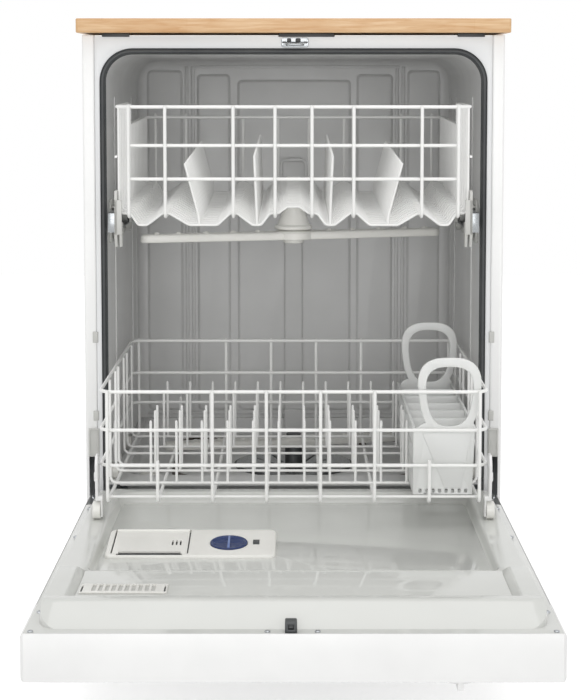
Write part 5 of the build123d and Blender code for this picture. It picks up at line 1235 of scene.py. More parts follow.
@dataclass(frozen=True)
class DoorLiner:
    """The glossy inner door: flange, wheel tracks, a sloping front rim, a ledge and a sunk basin."""

    flange_half: float = 301.4
    half: float = 288.5
    front: float = -676.0
    rear: float = -38.0
    bottom: float = 203.5
    flange_top: float = 209.0
    track: float = 222.5
    rim: float = 232.0
    ledge: float = 225.0
    basin_half: float = 254.0
    basin: Span = (-492.0, -60.0)
    basin_floor: float = 206.0
    slope_end: Span = (58.0, 68.0)
    steep: float = 0.7

    def flange(self) -> Workpiece:
        """Cut the thin flange that the door's edge is screwed through."""
        plate = Workpiece.block("flange", (-self.flange_half, self.flange_half), (-692.0, -81.0),
                                (self.flange_top - 2.5, self.flange_top))
        plate.round_off(6.0, 4, along(Axis.Z))
        return plate.soften(0.8, 2)

    def in_basin(self, spot: Vector) -> bool:
        """Tell whether a place lies in the basin or on its edge."""
        return (abs(spot.x) < self.basin_half + 1 and self.basin[0] - 1 < spot.y < self.basin[1] + 1
                and spot.z > self.basin_floor - 1)

    def tray(self) -> Workpiece:
        """Mould the body: slope its front, drop its tracks, raise its ledge and sink its basin."""
        low, high = (self.front + depth for depth in self.slope_end)
        tray = Workpiece.block("tray", (-self.half, self.half), (self.front, self.rear),
                               (self.bottom, self.rim))
        tray.round_off(30.0, 8, along(Axis.Z))
        tray.select(Part.FACES, looking(Axis.Z))
        tray.resize((0, (self.front + self.rear) / 2, self.rim), x=0.994, y=0.99)
        tray.slice((0, self.front + 2, self.flange_top), (0, -23, 40), clear=True)
        for y in (low, high, *self.basin):
            tray.slice((0, y, 0), (0, 1, 0))
        for x in (-self.basin_half, self.basin_half):
            tray.slice((x, 0, 0), RIGHT)
        tray.select(Part.FACES, looking(
            Axis.Z, where=lambda spot: spot.y > high - 1 and spot.z > self.rim - 1))
        tray.move(z=self.track - self.rim)
        tray.select(Part.FACES, looking(
            Axis.Z, where=lambda spot: abs(spot.x) < 10 and high - 1 < spot.y < self.basin[0]))
        tray.extrude(z=self.ledge - self.track)
        tray.select(Part.FACES, looking(
            Axis.Z, where=lambda spot: abs(spot.x) < 10 and self.basin[0] < spot.y < self.basin[1]
            and spot.z > self.track - 1))
        tray.extrude(z=self.basin_floor - self.track)
        tray.resize((0, sum(self.basin) / 2, 0), x=0.982, y=0.975)
        tray.round_off(30.0, 8, lambda spot, way: abs(way.z) > self.steep and self.in_basin(spot)
                       and spot.z < self.track)
        tray.round_off(7.0, 4, level(lambda spot: self.in_basin(spot) and spot.z < self.basin_floor + 0.5))
        tray.round_off(3.0, 3, level(lambda spot: self.in_basin(spot)
                                     and self.track - 0.5 < spot.z < self.ledge + 0.5))
        tray.round_off(5.0, 4, along(Axis.X, lambda spot: spot.z > self.rim - 1))
        return tray

    def shoulder(self) -> Workpiece:
        """Shape the raised band beside the ledge, sloping to the ledge and to the wheel track behind."""
        reach, top = self.half - 1.5, self.rim - 0.3
        band = Workpiece.block("shoulder", (self.basin_half, reach), (self.front + 52, self.basin[0] + 6),
                               (self.bottom + 2, top))
        band.slice((self.basin_half + 8, 0, top), (self.ledge - 1 - top, 0, 8), clear=True)
        band.slice((0, self.basin[0] - 4, top), (0, top - self.track + 1, 10), clear=True)
        return band.soften(2.0, 3, 20.0)

    def build(self) -> None:
        """Mould the tray and its two shoulders over its flange."""
        band = self.shoulder()
        pieces = [self.flange(), self.tray().soften(1.0, 2, 30.0), band, band.mirrored()]
        Workpiece.joined("door_liner_moulding", pieces).finish(LINER_PLASTIC, "door_liner")


@dataclass(frozen=True)
class Dispenser:
    """The detergent dispenser: a sloping housing, its hinged lid and the rinse aid cap."""

    x: Span = (-244.0, -23.0)
    y: Span = (-379.0, -283.0)
    floor: float = 206.0
    rear_top: float = 223.0
    front_top: float = 214.0
    lid_x: Span = (-235.0, -138.0)
    lid_y: Span = (-369.0, -288.0)
    lid_thickness: float = 2.4
    seat: float = 5.2
    cap_place: tuple[float, float] = (-84.7, -334.0)
    cap_radius: float = 24.5
    window: tuple[float, float] = (-49.0, -330.0)

    @property
    def slope(self) -> float:
        """The angle of the housing's top in degrees."""
        return math.degrees(math.atan2(self.rear_top - self.front_top, self.lid_y[1] - self.lid_y[0]))

    def on_slope(self, piece: Workpiece) -> Workpiece:
        """Turn a piece made on the level onto the housing's top."""
        piece.tip(self.slope, Axis.X, (0, self.lid_y[1], self.rear_top))
        return piece

    def block(self, x: Span, y: Span, low: float, high: float) -> Workpiece:
        """Lay a box on the sloping top, its heights measured from that top."""
        return self.on_slope(Workpiece.block("cutter", x, y, (self.rear_top + low, self.rear_top + high)))

    def housing(self) -> None:
        """Shape the housing and cut its lid seat, cup, finger slot, cap seat and window."""
        body = Workpiece.block("dispenser_moulding", self.x, self.y, (self.floor, self.rear_top + 2))
        body.round_off(9.0, 5, along(Axis.Z))
        run, rise = self.lid_y[1] - self.lid_y[0], self.rear_top - self.front_top
        body.slice((0, self.lid_y[1], self.rear_top), (0, -rise, run), clear=True)
        body.soften(2.8, 4)
        (left, right), (near, far) = self.lid_x, self.lid_y
        body.cut(self.block((left - 1.8, right + 1.8), (near - 1.4, far + 3.0), -self.seat, 6.0))
        body.cut(self.block((left + 6, right - 6), (near - 7.5, near + 2), -self.seat, 6.0))
        body.cut(Workpiece.block("cutter", (left + 8, right - 8), (near + 11, far - 7),
                                 (self.floor + 2, self.rear_top + 2)))
        body.cut(Workpiece.rod("cutter", (left - 0.8, far, self.rear_top - 1), 3.2, right - left + 1.6,
                               Axis.X, 24))
        # Dark rubber under the lid's edges and on the finger slot's floor: partly the lid's seal, partly
        # painted shade that darkens the gaps round the lid and the slot.
        seal = self.block((left - 1.6, right + 1.6), (near - 1.2, far - 1), -self.seat,
                          -self.lid_thickness - 0.6)
        lip = self.block((left + 6.2, right - 6.2), (near - 7.3, near + 1), -self.seat, -self.seat + 0.8)
        seal.cut(self.block((left + 9, right - 9), (near + 12, far - 8), -9.0, 6.0))
        seal.soften(0.4, 2)
        lip.soften(0.2, 2)
        Workpiece.joined("detergent_cup_seal", [seal, lip]).finish(DOOR_RUBBER, like="dispenser_housing")
        seat = Workpiece.rod("cutter", (*self.cap_place, self.rear_top - 2), self.cap_radius + 0.7, 8)
        body.cut(self.on_slope(seat))
        x, y = self.window
        body.cut(self.block((x - 4.5, x + 4.5), (y - 9, y + 9), -1.0, 4.0))
        body.finish(PALE_PLASTIC, "dispenser_housing")
        pane = self.block((x - 4.2, x + 4.2), (y - 8.7, y + 8.7), -1.1, -0.3).soften(0.3, 2)
        pane.item.name = "rinse_level_window"
        pane.finish(DARK_PLASTIC, like="dispenser_housing")

    def lid(self) -> None:
        """Cut three slots in the lid and roll its knuckle."""
        plate = Workpiece.block("detergent_door", self.lid_x, (self.lid_y[0], self.lid_y[1] - 1),
                                (self.rear_top - self.lid_thickness, self.rear_top)).soften(0.7, 3)
        for x in (-159.5, -154.3, -149.1):
            plate.cut(Workpiece.block("slot", (x, x + 2.2), (-341.0, -324.0),
                                      (self.rear_top - 4.0, self.rear_top + 1)))
        plate.cut(Workpiece.block("notch", (self.lid_x[0] + 8, self.lid_x[1] - 8),
                                  (self.lid_y[0] - 1, self.lid_y[0] + 5),
                                  (self.rear_top - 4.0, self.rear_top + 1)))
        self.on_slope(plate)
        knuckle = Workpiece.turned("knuckle", (self.lid_x[0], self.lid_y[1], self.rear_top - 1),
                                   ((0, 0), (2.2, 0), (2.6, 0.5), (2.6, 96.5), (2.2, 97), (0, 97)),
                                   RIGHT, 20)
        Workpiece.joined("detergent_door", [plate, knuckle]).finish(PALE_PLASTIC, "detergent_lid")

    def cap(self) -> None:
        """Turn the dished cap and lay its grip across it."""
        r = self.cap_radius
        cap = Workpiece.turned("rinse_cap_dish", (*self.cap_place, self.rear_top),
                               ((0, -1.7), (r - 0.3, -1.7), (r, -1.4), (r, 1.1), (r - 0.5, 1.7),
                                (r - 2.8, 1.7), (r - 4, 0.6), (r - 9, 0.1), (0, 0.1)), steps=56)
        self.on_slope(cap).finish(BLUE_PLASTIC, "rinse_cap")
        # The grip is drawn in a lighter blue than the cap: a painted highlight along its bar.
        x, y = self.cap_place
        grip = Workpiece.block("rinse_cap_grip", (x - 1.6, x + 1.6), (y - r + 4, y + r - 4),
                               (self.rear_top - 0.4, self.rear_top + 2.9)).soften(1.0, 3)
        self.on_slope(grip).finish(NAVY_GRIP_PAINTED_HIGHLIGHT, like="rinse_cap")

    def build(self) -> None:
        """Build the housing, its lid and the cap."""
        self.housing()
        self.lid()
        self.cap()


@dataclass(frozen=True)
class VentPlate:
    """The slotted vent on the liner's front ledge."""

    x: Span = (-251.0, -148.0)
    y: Span = (-592.0, -556.0)
    z: Span = (225.0, 227.5)
    slots: int = 10
    pitch: float = 7.8

    def build(self) -> None:
        """Cut a row of slots and two end nicks through a thin plate, with painted shade laid under them."""
        plate = Workpiece.block("vent_plate", self.x, self.y, self.z).soften(0.9, 3)
        for step in range(self.slots):
            x = -237.0 + self.pitch * step
            plate.cut(Workpiece.block("slot", (x, x + 5.0), (-586.0, -560.0), (self.z[0] - 1, self.z[1] + 1)))
        dark = []
        for x in (self.x[0] + 1.6, self.x[1] - 3.8):
            plate.cut(Workpiece.block("nick", (x, x + 2.2), (-589.5, -565.0), (self.z[0] - 1, self.z[1] + 1)))
            # A dark strip under each nick: painted shade for the deep gap.
            dark.append(Workpiece.block("nick_shade", (x - 0.4, x + 2.6), (-590.0, -564.5),
                                        (self.z[0], self.z[0] + 0.8)))
        plate.finish(PALE_PLASTIC, "vent_grille")
        # A grey sheet under the slots: painted shade that darkens their floor.
        shade = Workpiece.block("vent_shade", (-242.0, -158.0), (-588.0, -558.0),
                                (self.z[0], self.z[0] + 0.6)).soften(0.2, 2)
        shade.finish(GREY_PLASTIC, like="vent_grille")
        nicks = Workpiece.joined("vent_clip_gaps", dark).soften(0.2, 2)
        nicks.finish(DARK_PLASTIC, like="vent_grille")


# Water parts


@dataclass(frozen=True)
class SprayArm:
    """A moulded spray arm: tapered blade, hub, nozzles."""

    name: str
    node: str
    centre: float
    low: float
    radius: float
    hub: float
    bore: float
    angle: float
    thickness: float = 12.0
    root: float = 21.0
    tip: float = 13.0
    nozzles: tuple[float, ...] = (0.24, 0.4, 0.58, 0.76, 0.9)

    def blade(self) -> Workpiece:
        """Draw the tapered blade with round ends and soft edges."""
        reach = self.radius - self.tip
        right = [(reach + self.tip * math.cos(math.radians(a)), self.tip * math.sin(math.radians(a)))
                 for a in range(-90, 91, 15)]
        corners = [(40, -self.root)] + right + [(40, self.root)]
        corners += [(-x, -y) for x, y in corners]
        blade = Workpiece.outline("blade", [(x, self.centre + y, self.low) for x, y in corners])
        blade.extrude(z=self.thickness)
        blade.round_off(4.5, 4,
                        lambda spot, way: abs(way.z) < 0.1 and spot.z > self.low + self.thickness - 0.5)
        blade.round_off(2.0, 2, lambda spot, way: abs(way.z) < 0.1 and spot.z < self.low + 0.5)
        return blade

    def nozzle(self) -> Workpiece:
        """Turn one domed nozzle over the arm's centre."""
        top = self.thickness
        return Workpiece.turned("nozzle", (0, self.centre, self.low),
                                ((0, top - 2), (5.5, top - 2), (5.2, top), (4.2, top + 1.6), (2.6, top + 2.7),
                                 (1.2, top + 3), (1.2, top + 1.5), (0, top + 1.5)), steps=16)

    def build(self) -> None:
        """Join blade, hub and nozzles, bore the hub and turn the arm to its angle."""
        blade = self.blade()
        blade.cut(Workpiece.rod("bore", (0, self.centre, self.low - 5), self.bore + 1.5, self.thickness + 10))
        top = self.thickness + 3
        hub = Workpiece.turned("hub", (0, self.centre, self.low),
                               ((self.bore, 0), (self.hub - 1, 0), (self.hub, 1), (self.hub, top - 5),
                                (self.hub - 2, top - 2.4), (self.hub - 6, top - 0.8), (self.bore + 5, top),
                                (self.bore, top)))
        first = self.nozzle()
        made = [blade, hub]
        for share in self.nozzles:
            made += [first.copy(x=side * share * self.radius) for side in (-1, 1)]
        clear_selection()
        bpy.data.objects.remove(first.item)
        arm = Workpiece.joined(self.name, made)
        arm.tip(self.angle, Axis.Z, (0, self.centre, 0))
        arm.finish(PALE_PLASTIC, self.node)


@dataclass(frozen=True)
class FeedPipe:
    """The pipe under the upper rack: domed hub, tube, saddles, docking collar and the arm's nut."""

    centre: float = 113.0
    height: float = 612.0
    end: float = 346.0
    arm: Span = (580.0, 592.0)
    under_floor: float = 637.4

    def tube(self) -> Workpiece:
        """Draw the rounded tube back from the hub and belling at its docking end."""
        half, tall, corner = 13.0, 11.0, 9.0
        section = []
        for turn, (x, z) in enumerate(((1, 1), (-1, 1), (-1, -1), (1, -1))):
            for step in range(5):
                a = math.radians(90 * turn + 22.5 * step)
                section.append((x * (half - corner) + corner * math.cos(a), self.centre,
                                self.height + z * (tall - corner) + corner * math.sin(a)))
        tube = Workpiece.outline("tube", section).extrude(y=self.end - self.centre - 14).extrude(y=3)
        tube.resize((0, self.end, self.height), x=1.2, z=1.2)
        tube.extrude(y=11)
        tube.inset(3.0)
        tube.extrude(y=-8)
        return tube

    def build(self) -> None:
        """Turn the hub and the nut and join them to the tube and its saddles."""
        low, high = self.arm[0] - self.height, self.under_floor - self.height
        hub = Workpiece.turned("hub", (0, self.centre, self.height), (
            (0, low + 15.3), (27, low + 15.3), (29, low + 17), (29, low + 20), (27, low + 22),
            (24.5, low + 23), (23, low + 28), (20, low + 36), (16.5, low + 44), (15, high - 2), (15, high),
            (0, high)), steps=40)
        spigot = Workpiece.turned("spigot", (0, self.centre, self.height), (
            (0, low - 6), (14, low - 6), (16, low - 4.5), (16, low - 1), (15.4, low - 0.3), (9.9, low - 0.3),
            (9.9, low + 16), (0, low + 16)), steps=32)
        saddles = []
        for y, top in ((160.0, 639.0), (300.0, 644.3)):
            saddle = Workpiece.block("saddle", (-30.0, 30.0), (y - 6, y + 6), (620.0, top)).soften(1.5, 3)
            saddles.append(saddle)
        Workpiece.joined("upper_feed", [self.tube(), hub, spigot] + saddles).finish(PALE_PLASTIC,
                                                                                    "upper_feed_pipe")


# Cutlery basket


@dataclass(frozen=True)
class CutleryBasket:
    """The cutlery basket: ribbed walls, dividers and end plates with loop handles."""

    left: float = 164.5
    right: Span = (246.0, 250.0)
    front: float = -212.0
    length: float = 373.0
    low: float = 253.9
    top: float = 349.0
    plate: float = 6.0
    wall: float = 2.0
    cells: int = 6
    handle_centre: float = 214.5
    handle_half: float = 48.7
    handle_top: float = 444.0
    opening: float = 349.0
    band: float = 12.5
    taper: float = 0.26

    @property
    def first(self) -> float:
        """Where the side walls start."""
        return self.front + self.plate

    @property
    def last(self) -> float:
        """Where the side walls end."""
        return self.front + self.length - self.plate

    def right_at(self, z: float) -> float:
        """Give the leaning wall's outer face at a height."""
        return self.right[0] + (self.right[1] - self.right[0]) * (z - self.low) / (self.top - self.low)

    def ring(self, inward: float, depth: float) -> list[Point]:
        """Give the loop's outer line, or the line a distance inside it, from its foot round to the right.

        Args:
            inward: How far inside the outer line it lies.
            depth: The depth it is drawn at.

        Returns:
            The corners of the line.
        """
        middle = (self.handle_top + self.opening - self.band) / 2
        tall = (self.handle_top - self.opening + self.band) / 2
        corners = []
        for step in range(56):
            a = math.tau * (step + 0.5) / 56 - math.pi / 2
            across, up = math.cos(a), math.sin(a)
            rise = math.copysign(abs(up) ** 0.72, up)
            x = math.copysign(abs(across) ** 0.72, across) * (self.handle_half - inward)
            x *= 1 - self.taper * (1 - rise) / 2
            corners.append((self.handle_centre + x, depth, middle + rise * (tall - inward)))
        return corners

    def end_plate(self) -> Workpiece:
        """Draw one end with its loop, tapered panel and the row of drain slots at its foot."""
        high = self.top + 2
        arch = [corner for corner in self.ring(0.0, self.front) if corner[2] > high + 1]
        foot = [(self.left, self.low), (self.right[0], self.low), (self.right[1], high - 2)]
        shoulder = [(self.left + 10, high), (self.left, high - 10)]
        plate = Workpiece.outline("plate", [(x, self.front, z) for x, z in foot] + arch
                                  + [(x, self.front, z) for x, z in shoulder]).extrude(y=self.plate)
        opening = Workpiece.outline("opening", self.ring(self.band, self.front - 1))
        opening.extrude(y=self.plate + 2)
        plate.cut(opening)
        for step in range(8):
            x = self.left + 8 + 9 * step
            plate.cut(Workpiece.block("slot", (x, x + 4), (self.front - 1, self.front + self.plate + 1),
                                      (256.5, 262.0)))
        plate.soften(1.3, 3, 50.0)
        panel = Workpiece.outline("panel", [(208.0, self.front + 1, 264.0), (231.0, self.front + 1, 264.0),
                                            (244.5, self.front + 1, 340.0), (177.0, self.front + 1, 340.0)])
        panel.extrude(y=-2.4)
        panel.soften(0.8, 2)
        return Workpiece.joined("end_plate", [plate, panel])

    def bar(self) -> Workpiece:
        """Shape one upright rib of a side wall."""
        bar = Workpiece.block("bar", (self.left, self.left + self.wall), (self.first, self.first + 7.0),
                              (self.low + 12, self.top - 2))
        bar.select(Part.FACES, lambda _, facing: abs(facing.x) > ALONG)
        bar.inset(0.8, 0.4)
        return bar

    def walls(self) -> list[Workpiece]:
        """Stand ribs along both sides between a foot band, two cross bars and a rim."""
        first = self.bar()
        made = [first]
        ribs = 3 * self.cells + 1
        pitch = (self.last - self.first - 7) / (ribs - 1)
        made += [first.copy(y=pitch * step) for step in range(1, ribs)]
        across = self.right_at(self.low) - self.wall - self.left
        rights = [first.copy(x=across, y=pitch * step) for step in range(ribs)]
        for rib in rights:
            rib.select(Part.CORNERS, lambda spot, _: spot.z > self.top - 4)
            rib.move(x=self.right[1] - self.right[0])
        made += rights
        for low, high, proud in ((self.low, self.low + 14, 0.0), (self.low + 40, self.low + 44, 0.4),
                                 (self.low + 66, self.low + 70, 0.4), (self.top - 7, self.top, 0.8)):
            middle = (low + high) / 2
            for x in (self.left, self.right_at(middle) - self.wall):
                made.append(Workpiece.block("rail", (x - proud, x + self.wall + proud),
                                            (self.first - 1, self.last + 1), (low, high)).soften(0.7, 2))
        return made

    def inside(self) -> list[Workpiece]:
        """Lay the pierced floor and stand the dividers on it."""
        pitch = (self.last - self.first + self.wall) / self.cells
        floor = Workpiece.block("floor", (self.left, self.right[0]), (self.first, self.last),
                                (self.low, self.low + self.wall))
        made = [floor]
        for cell in range(self.cells):
            start = self.first + cell * pitch
            for x in (self.left + 12, self.left + 44):
                floor.cut(Workpiece.block("hole", (x, x + 26), (start + 12, start + pitch - 14),
                                          (self.low - 1, self.low + 4)))
            if cell:
                high = self.top - 1
                made.append(Workpiece.outline("divider", [(x, start - self.wall, z) for x, z in (
                    (self.left + 1, self.low + 1), (self.right[0] - 1, self.low + 1),
                    (self.right[1] - 1, high), (self.left + 1, high))]).extrude(y=self.wall).soften(0.5, 2))
        return made

    def build(self) -> None:
        """Build the basket from its ends, walls, floor and dividers."""
        front = self.end_plate()
        rear = front.copy()
        bpy.ops.transform.resize(value=(1, -1, 1), center_override=place(0, self.front + self.length / 2, 0))
        rear.settle()
        rear.close()
        pieces = [front, rear] + self.walls() + self.inside()
        Workpiece.joined("cutlery_basket_moulding", pieces).finish(BASKET_PLASTIC, "silverware_basket")


# Fittings


@dataclass(frozen=True)
class LatchStrike:
    """The strike on the frame's top rail: a notched plate, a round catch bar and two dark lugs."""

    x: Span = (-18.0, 22.0)
    z: Span = (872.0, 886.0)
    bar: Span = (-10.0, 14.0)
    reach: float = -14.0

    def build(self) -> None:
        """Cut the plate's slots, bend the bar and stand the lugs on the plate."""
        low, high = self.z
        plate = Workpiece.block("strike_plate", self.x, (-1.6, 0.0), self.z)
        plate.round_off(3.0, 4, along(Axis.Y))
        for x in (self.x[0] + 2.5, self.x[1] - 6.5):
            plate.cut(Workpiece.block("slot", (x, x + 4), (-3.0, 1.0), (low + 5.5, low + 8.5)))
        plate.soften(0.3, 2)
        left, right = self.bar
        route = ((left, -1.0), (left, self.reach + 2), (right, self.reach + 2), (right, -1.0))
        bar = WireStock(3.6, 12).bend("catch_bar", [(x, y, low + 4) for x, y in route], 4.0)
        Workpiece.joined("latch_strike_plate", [plate, bar]).finish(STRIKE_STEEL, "latch_strike")
        lugs = []
        for x, wide in ((-9.5, 6.0), (3.0, 7.5)):
            lug = Workpiece.block("lug", (x, x + wide), (-4.0, -1.4), (high - 6.5, high - 0.8))
            lug.round_off(1.6, 3, along(Axis.Y, lambda spot: spot.z > high - 2))
            lugs.append(lug)
        line = Workpiece.block("lug", (self.x[0] + 1, self.x[1] - 1), (-2.2, -1.4), (high - 7.4, high - 6.0))
        made = Workpiece.joined("latch_strike_lugs", lugs + [line]).soften(0.3, 2)
        made.finish(BLACK_PAINT, like="latch_strike")


@dataclass(frozen=True)
class DoorHinges:
    """The moulded cover over each hinge slot and the pivot plate that carries the door's pin."""

    inner: float = 291.0
    outer: float = 306.0
    z: Span = (263.0, 305.0)
    pivot: tuple[float, float] = (-13.5, 198.5)
    plate_x: Span = (296.8, 299.8)

    def build(self) -> None:
        """Shape the covers and cut the bored plates."""
        cover = Workpiece.block("hinge_cover", (self.inner, self.outer), (-3.0, 0.0), self.z)
        cover.round_off(1.2, 3, lambda spot, _: spot.y < -2)
        cover.select(Part.FACES, looking(Axis.Y, -1))
        cover.inset(1.6)
        cover.inset(0.5, -0.5)
        Workpiece.joined("hinge_covers", [cover, cover.mirrored()]).finish(GREY_PLASTIC, like="door_hinges")
        y, z = self.pivot
        plate = Workpiece.outline("pivot_plate", [(self.plate_x[0], y + ahead, z + up) for ahead, up in (
            (-10.0, -8.0), (13.5, -8.0), (61.5, -8.0), (61.5, 14.0), (13.5, 12.0), (-10.0, 7.5))])
        plate.extrude(x=self.plate_x[1] - self.plate_x[0])
        plate.cut(Workpiece.rod("bore", (self.plate_x[0] - 2, y, z), 4.05, 8, Axis.X, 32))
        plate.soften(0.4, 2)
        tab = Workpiece.block("tab", (289.4, 297.2), (6.0, 9.0), (z - 8, z + 12)).soften(0.4, 2)
        pair = Workpiece.joined("hinge_pivots", [plate, tab])
        Workpiece.joined("hinge_pivots", [pair, pair.mirrored()]).finish(PLATED_STEEL, "door_hinges")


@dataclass(frozen=True)
class PanScrews:
    """The cross-slotted pan heads along the liner's flange and on the cabinet's back."""

    radius: float = 3.4
    rise: float = 1.8
    slot: tuple[float, float] = (1.9, 0.4)
    edge: float = 293.5
    rows: tuple[float, ...] = (-684.0, -611.0, -440.0, -270.0, -110.0)
    by_latch: Span = (-29.0, 27.0)
    flange: float = 209.0
    rear_x: tuple[float, ...] = (-280.0, -140.0, 0.0, 140.0, 280.0)
    rear_y: float = 608.8
    rear_z: Span = (90.0, 860.0)

    def head(self, foot: Point) -> Workpiece:
        """Turn one head and cut its cross."""
        x, y, z = foot
        head = Workpiece.rod("screw_head", foot, self.radius, self.rise, corners=24)
        head.round_off(0.8, 3, lambda spot, _: spot.z > z + self.rise - 0.05)
        for long, wide in (self.slot, self.slot[::-1]):
            head.cut(Workpiece.block("slot", (x - long, x + long), (y - wide, y + wide),
                                     (z + self.rise - 0.7, z + self.rise + 1)))
        return head

    def build(self) -> None:
        """Copy the head to every place, and tip the rear ones over."""
        first = (self.by_latch[0], self.rows[0], self.flange)
        places = [(side * self.edge, y, self.flange) for side in (-1, 1) for y in self.rows]
        places.append((self.by_latch[1], self.rows[0], self.flange))
        head = self.head(first)
        heads = [head] + [head.copy(x - first[0], y - first[1]) for x, y, _ in places]
        corner = (self.rear_x[0], self.rear_y, self.rear_z[0])
        back = head.copy(*(end - start for start, end in zip(first, corner)))
        back.tip(-90.0, Axis.X, corner)
        heads += [back.copy(x - corner[0], z=z - corner[2]) for x in self.rear_x for z in self.rear_z
                  if (x, z) != (corner[0], corner[2])]
        Workpiece.joined("screw_heads", [*heads, back]).finish(PLATED_STEEL, "screws")


@dataclass(frozen=True)
class FrameTrim:
    """The cabinet's bright folded lip over the frame, and the black tabs' ends that break it."""

    z: Span = (887.9, 889.9)
    ends: tuple[Span, ...] = ((-292.0, -281.5), (-240.5, -22.5), (60.5, 240.5), (281.5, 292.0))
    tabs: tuple[Span, ...] = ((-281.0, -241.0), (-22.0, 60.0), (241.0, 281.0))

    def build(self) -> None:
        """Lay the lip between the tabs and set the tabs' ends in its gaps."""
        lips = [Workpiece.block("lip", x, (-1.2, 0.2), self.z) for x in self.ends]
        lip = Workpiece.joined("frame_top_lip", lips).soften(0.4, 2)
        lip.finish(WHITE_ENAMEL, like="front_frame")
        faces = [Workpiece.block("tab", x, (-1.2, 2.2), (self.z[0] - 0.6, 892.6)) for x in self.tabs]
        tab = Workpiece.joined("worktop_tab_ends", faces).soften(0.5, 2)
        tab.finish(BLACK_PAINT, like="worktop_brackets")


@dataclass(frozen=True)
class CasterWheel:
    """One caster wheel: a soft tyre moulded round a webbed hub."""

    node: str
    places: tuple[tuple[float, float], ...]
    radius: float = 25.0
    width: float = 18.0
    bore: float = 4.05

    def build(self) -> None:
        """Turn the tyre and the hub of each wheel."""
        tyres, hubs = [], []
        w, r = self.width, self.radius
        for x, y in self.places:
            at = (x - w / 2, y, r)
            for made, half in ((tyres, ((17.0, 0.6), (20.5, 0.4), (23.2, 1.4), (24.6, 3.6), (r, 6.5))),
                               (hubs, ((self.bore, 0.0), (7.4, 0.0), (8.0, 0.6), (8.2, 4.4), (14.6, 5.0),
                                       (15.2, 1.4), (15.8, 0.9), (17.2, 0.9)))):
                other = tuple((out, w - along_axle) for out, along_axle in reversed(half))
                made.append(Workpiece.turned("wheel", at, half + other, RIGHT, 56))
        Workpiece.joined(self.node + "_tyre", tyres).finish(TYRE_RUBBER, self.node)
        Workpiece.joined(self.node + "_hub", hubs).finish(GREY_PLASTIC, like=self.node)


# Parts whose shape needs no more than broken edges


@dataclass(frozen=True)
class EasedPart:
    """A copy of one node of the frame with its triangles cleaned up, webs added and its edges broken."""

    node: str
    finish: Finish
    radius: float = 0.6
    segments: int = 2
    added: tuple[tuple[Span, Span, Span], ...] = ()
    flat: float = 0.5

    def build(self) -> None:
        """Merge the copy's loose triangles, dissolve its flat faces and bevel its edges."""
        clear_selection()
        item = bpy.data.objects.new(self.node, frame["nodes"][self.node].data.copy())
        bpy.context.collection.objects.link(item)
        bpy.context.view_layer.objects.active = item
        part = Workpiece(self.node + "_eased")
        part.whole()
        bpy.ops.mesh.remove_doubles(threshold=10 * MERGE)
        bpy.ops.mesh.dissolve_limited(angle_limit=math.radians(self.flat))
        right = [Workpiece.block("web", *limits) for limits in self.added]
        if right:
            part = Workpiece.joined(self.node + "_eased", [part] + right + [web.mirrored() for web in right])
        part.soften(self.radius, self.segments, 30.0)
        part.finish(self.finish, self.node)


EASED = (
    EasedPart("cabinet_sides", WHITE_ENAMEL, 0.5), EasedPart("front_frame", FRAME_PAINT, 0.8),
    EasedPart("door_outer_panel", WHITE_ENAMEL, 0.5), EasedPart("control_console", WHITE_PLASTIC, 1.2, 3),
    EasedPart("access_panel", WHITE_ENAMEL, 0.5), EasedPart("cabinet_back", SHEET_ZINC, 0.5),
    EasedPart("base_frame", SHEET_ZINC, 0.6), EasedPart("rear_port_plate", DARK_PLASTIC, 0.8),
    EasedPart("inlet_valve", WHITE_PLASTIC, 0.8), EasedPart("worktop_brackets", BLACK_PAINT, 0.4),
    EasedPart("frame_clips", GREY_PLASTIC, 0.5), EasedPart("door_latch", DARK_PLASTIC, 0.7),
    EasedPart("latch_handle", PALE_PLASTIC, 0.8), EasedPart("cycle_dial", WHITE_PLASTIC, 0.8, 3),
    EasedPart("start_button", WHITE_PLASTIC, 0.5), EasedPart("heat_button", WHITE_PLASTIC, 0.5),
    EasedPart("float_cap", PALE_PLASTIC, 0.8, 3), EasedPart("sump", DARK_PLASTIC, 0.8),
    EasedPart("roller_brackets", GREY_PLASTIC, 0.5), EasedPart("slide_rails", STRIKE_STEEL, 0.4),
    EasedPart("upper_roller_carriers", GREY_PLASTIC, 0.8,
              added=(((242.6, 252.8), (-123.5, -119.5), (606.0, 655.0)),)),
    EasedPart("lower_wheel_carriers", WHITE_PLASTIC, 0.8,
              added=(((270.5, 275.2), (-210.0, -204.0), (272.0, 276.5)),
                     ((273.0, 275.2), (-210.0, -204.0), (276.0, 284.0)))),
    EasedPart("rack_rollers_front", GREY_PLASTIC, 0.6), EasedPart("rack_rollers_rear", GREY_PLASTIC, 0.6),
    EasedPart("tub_rollers_front", GREY_PLASTIC, 0.6), EasedPart("tub_rollers_rear", GREY_PLASTIC, 0.6),
    EasedPart("lower_wheels_front", PALE_PLASTIC, 0.7), EasedPart("lower_wheels_middle", PALE_PLASTIC, 0.7),
    EasedPart("lower_wheels_rear", PALE_PLASTIC, 0.7), EasedPart("caster_mounts", PLATED_STEEL, 0.6),
    EasedPart("front_caster_fork_left", PLATED_STEEL, 0.6),
    EasedPart("front_caster_fork_right", PLATED_STEEL, 0.6),
    EasedPart("wash_pump", DARK_PLASTIC, 1.5, 3), EasedPart("drain_pump", PALE_PLASTIC, 1.2, 3),
)


# Studio


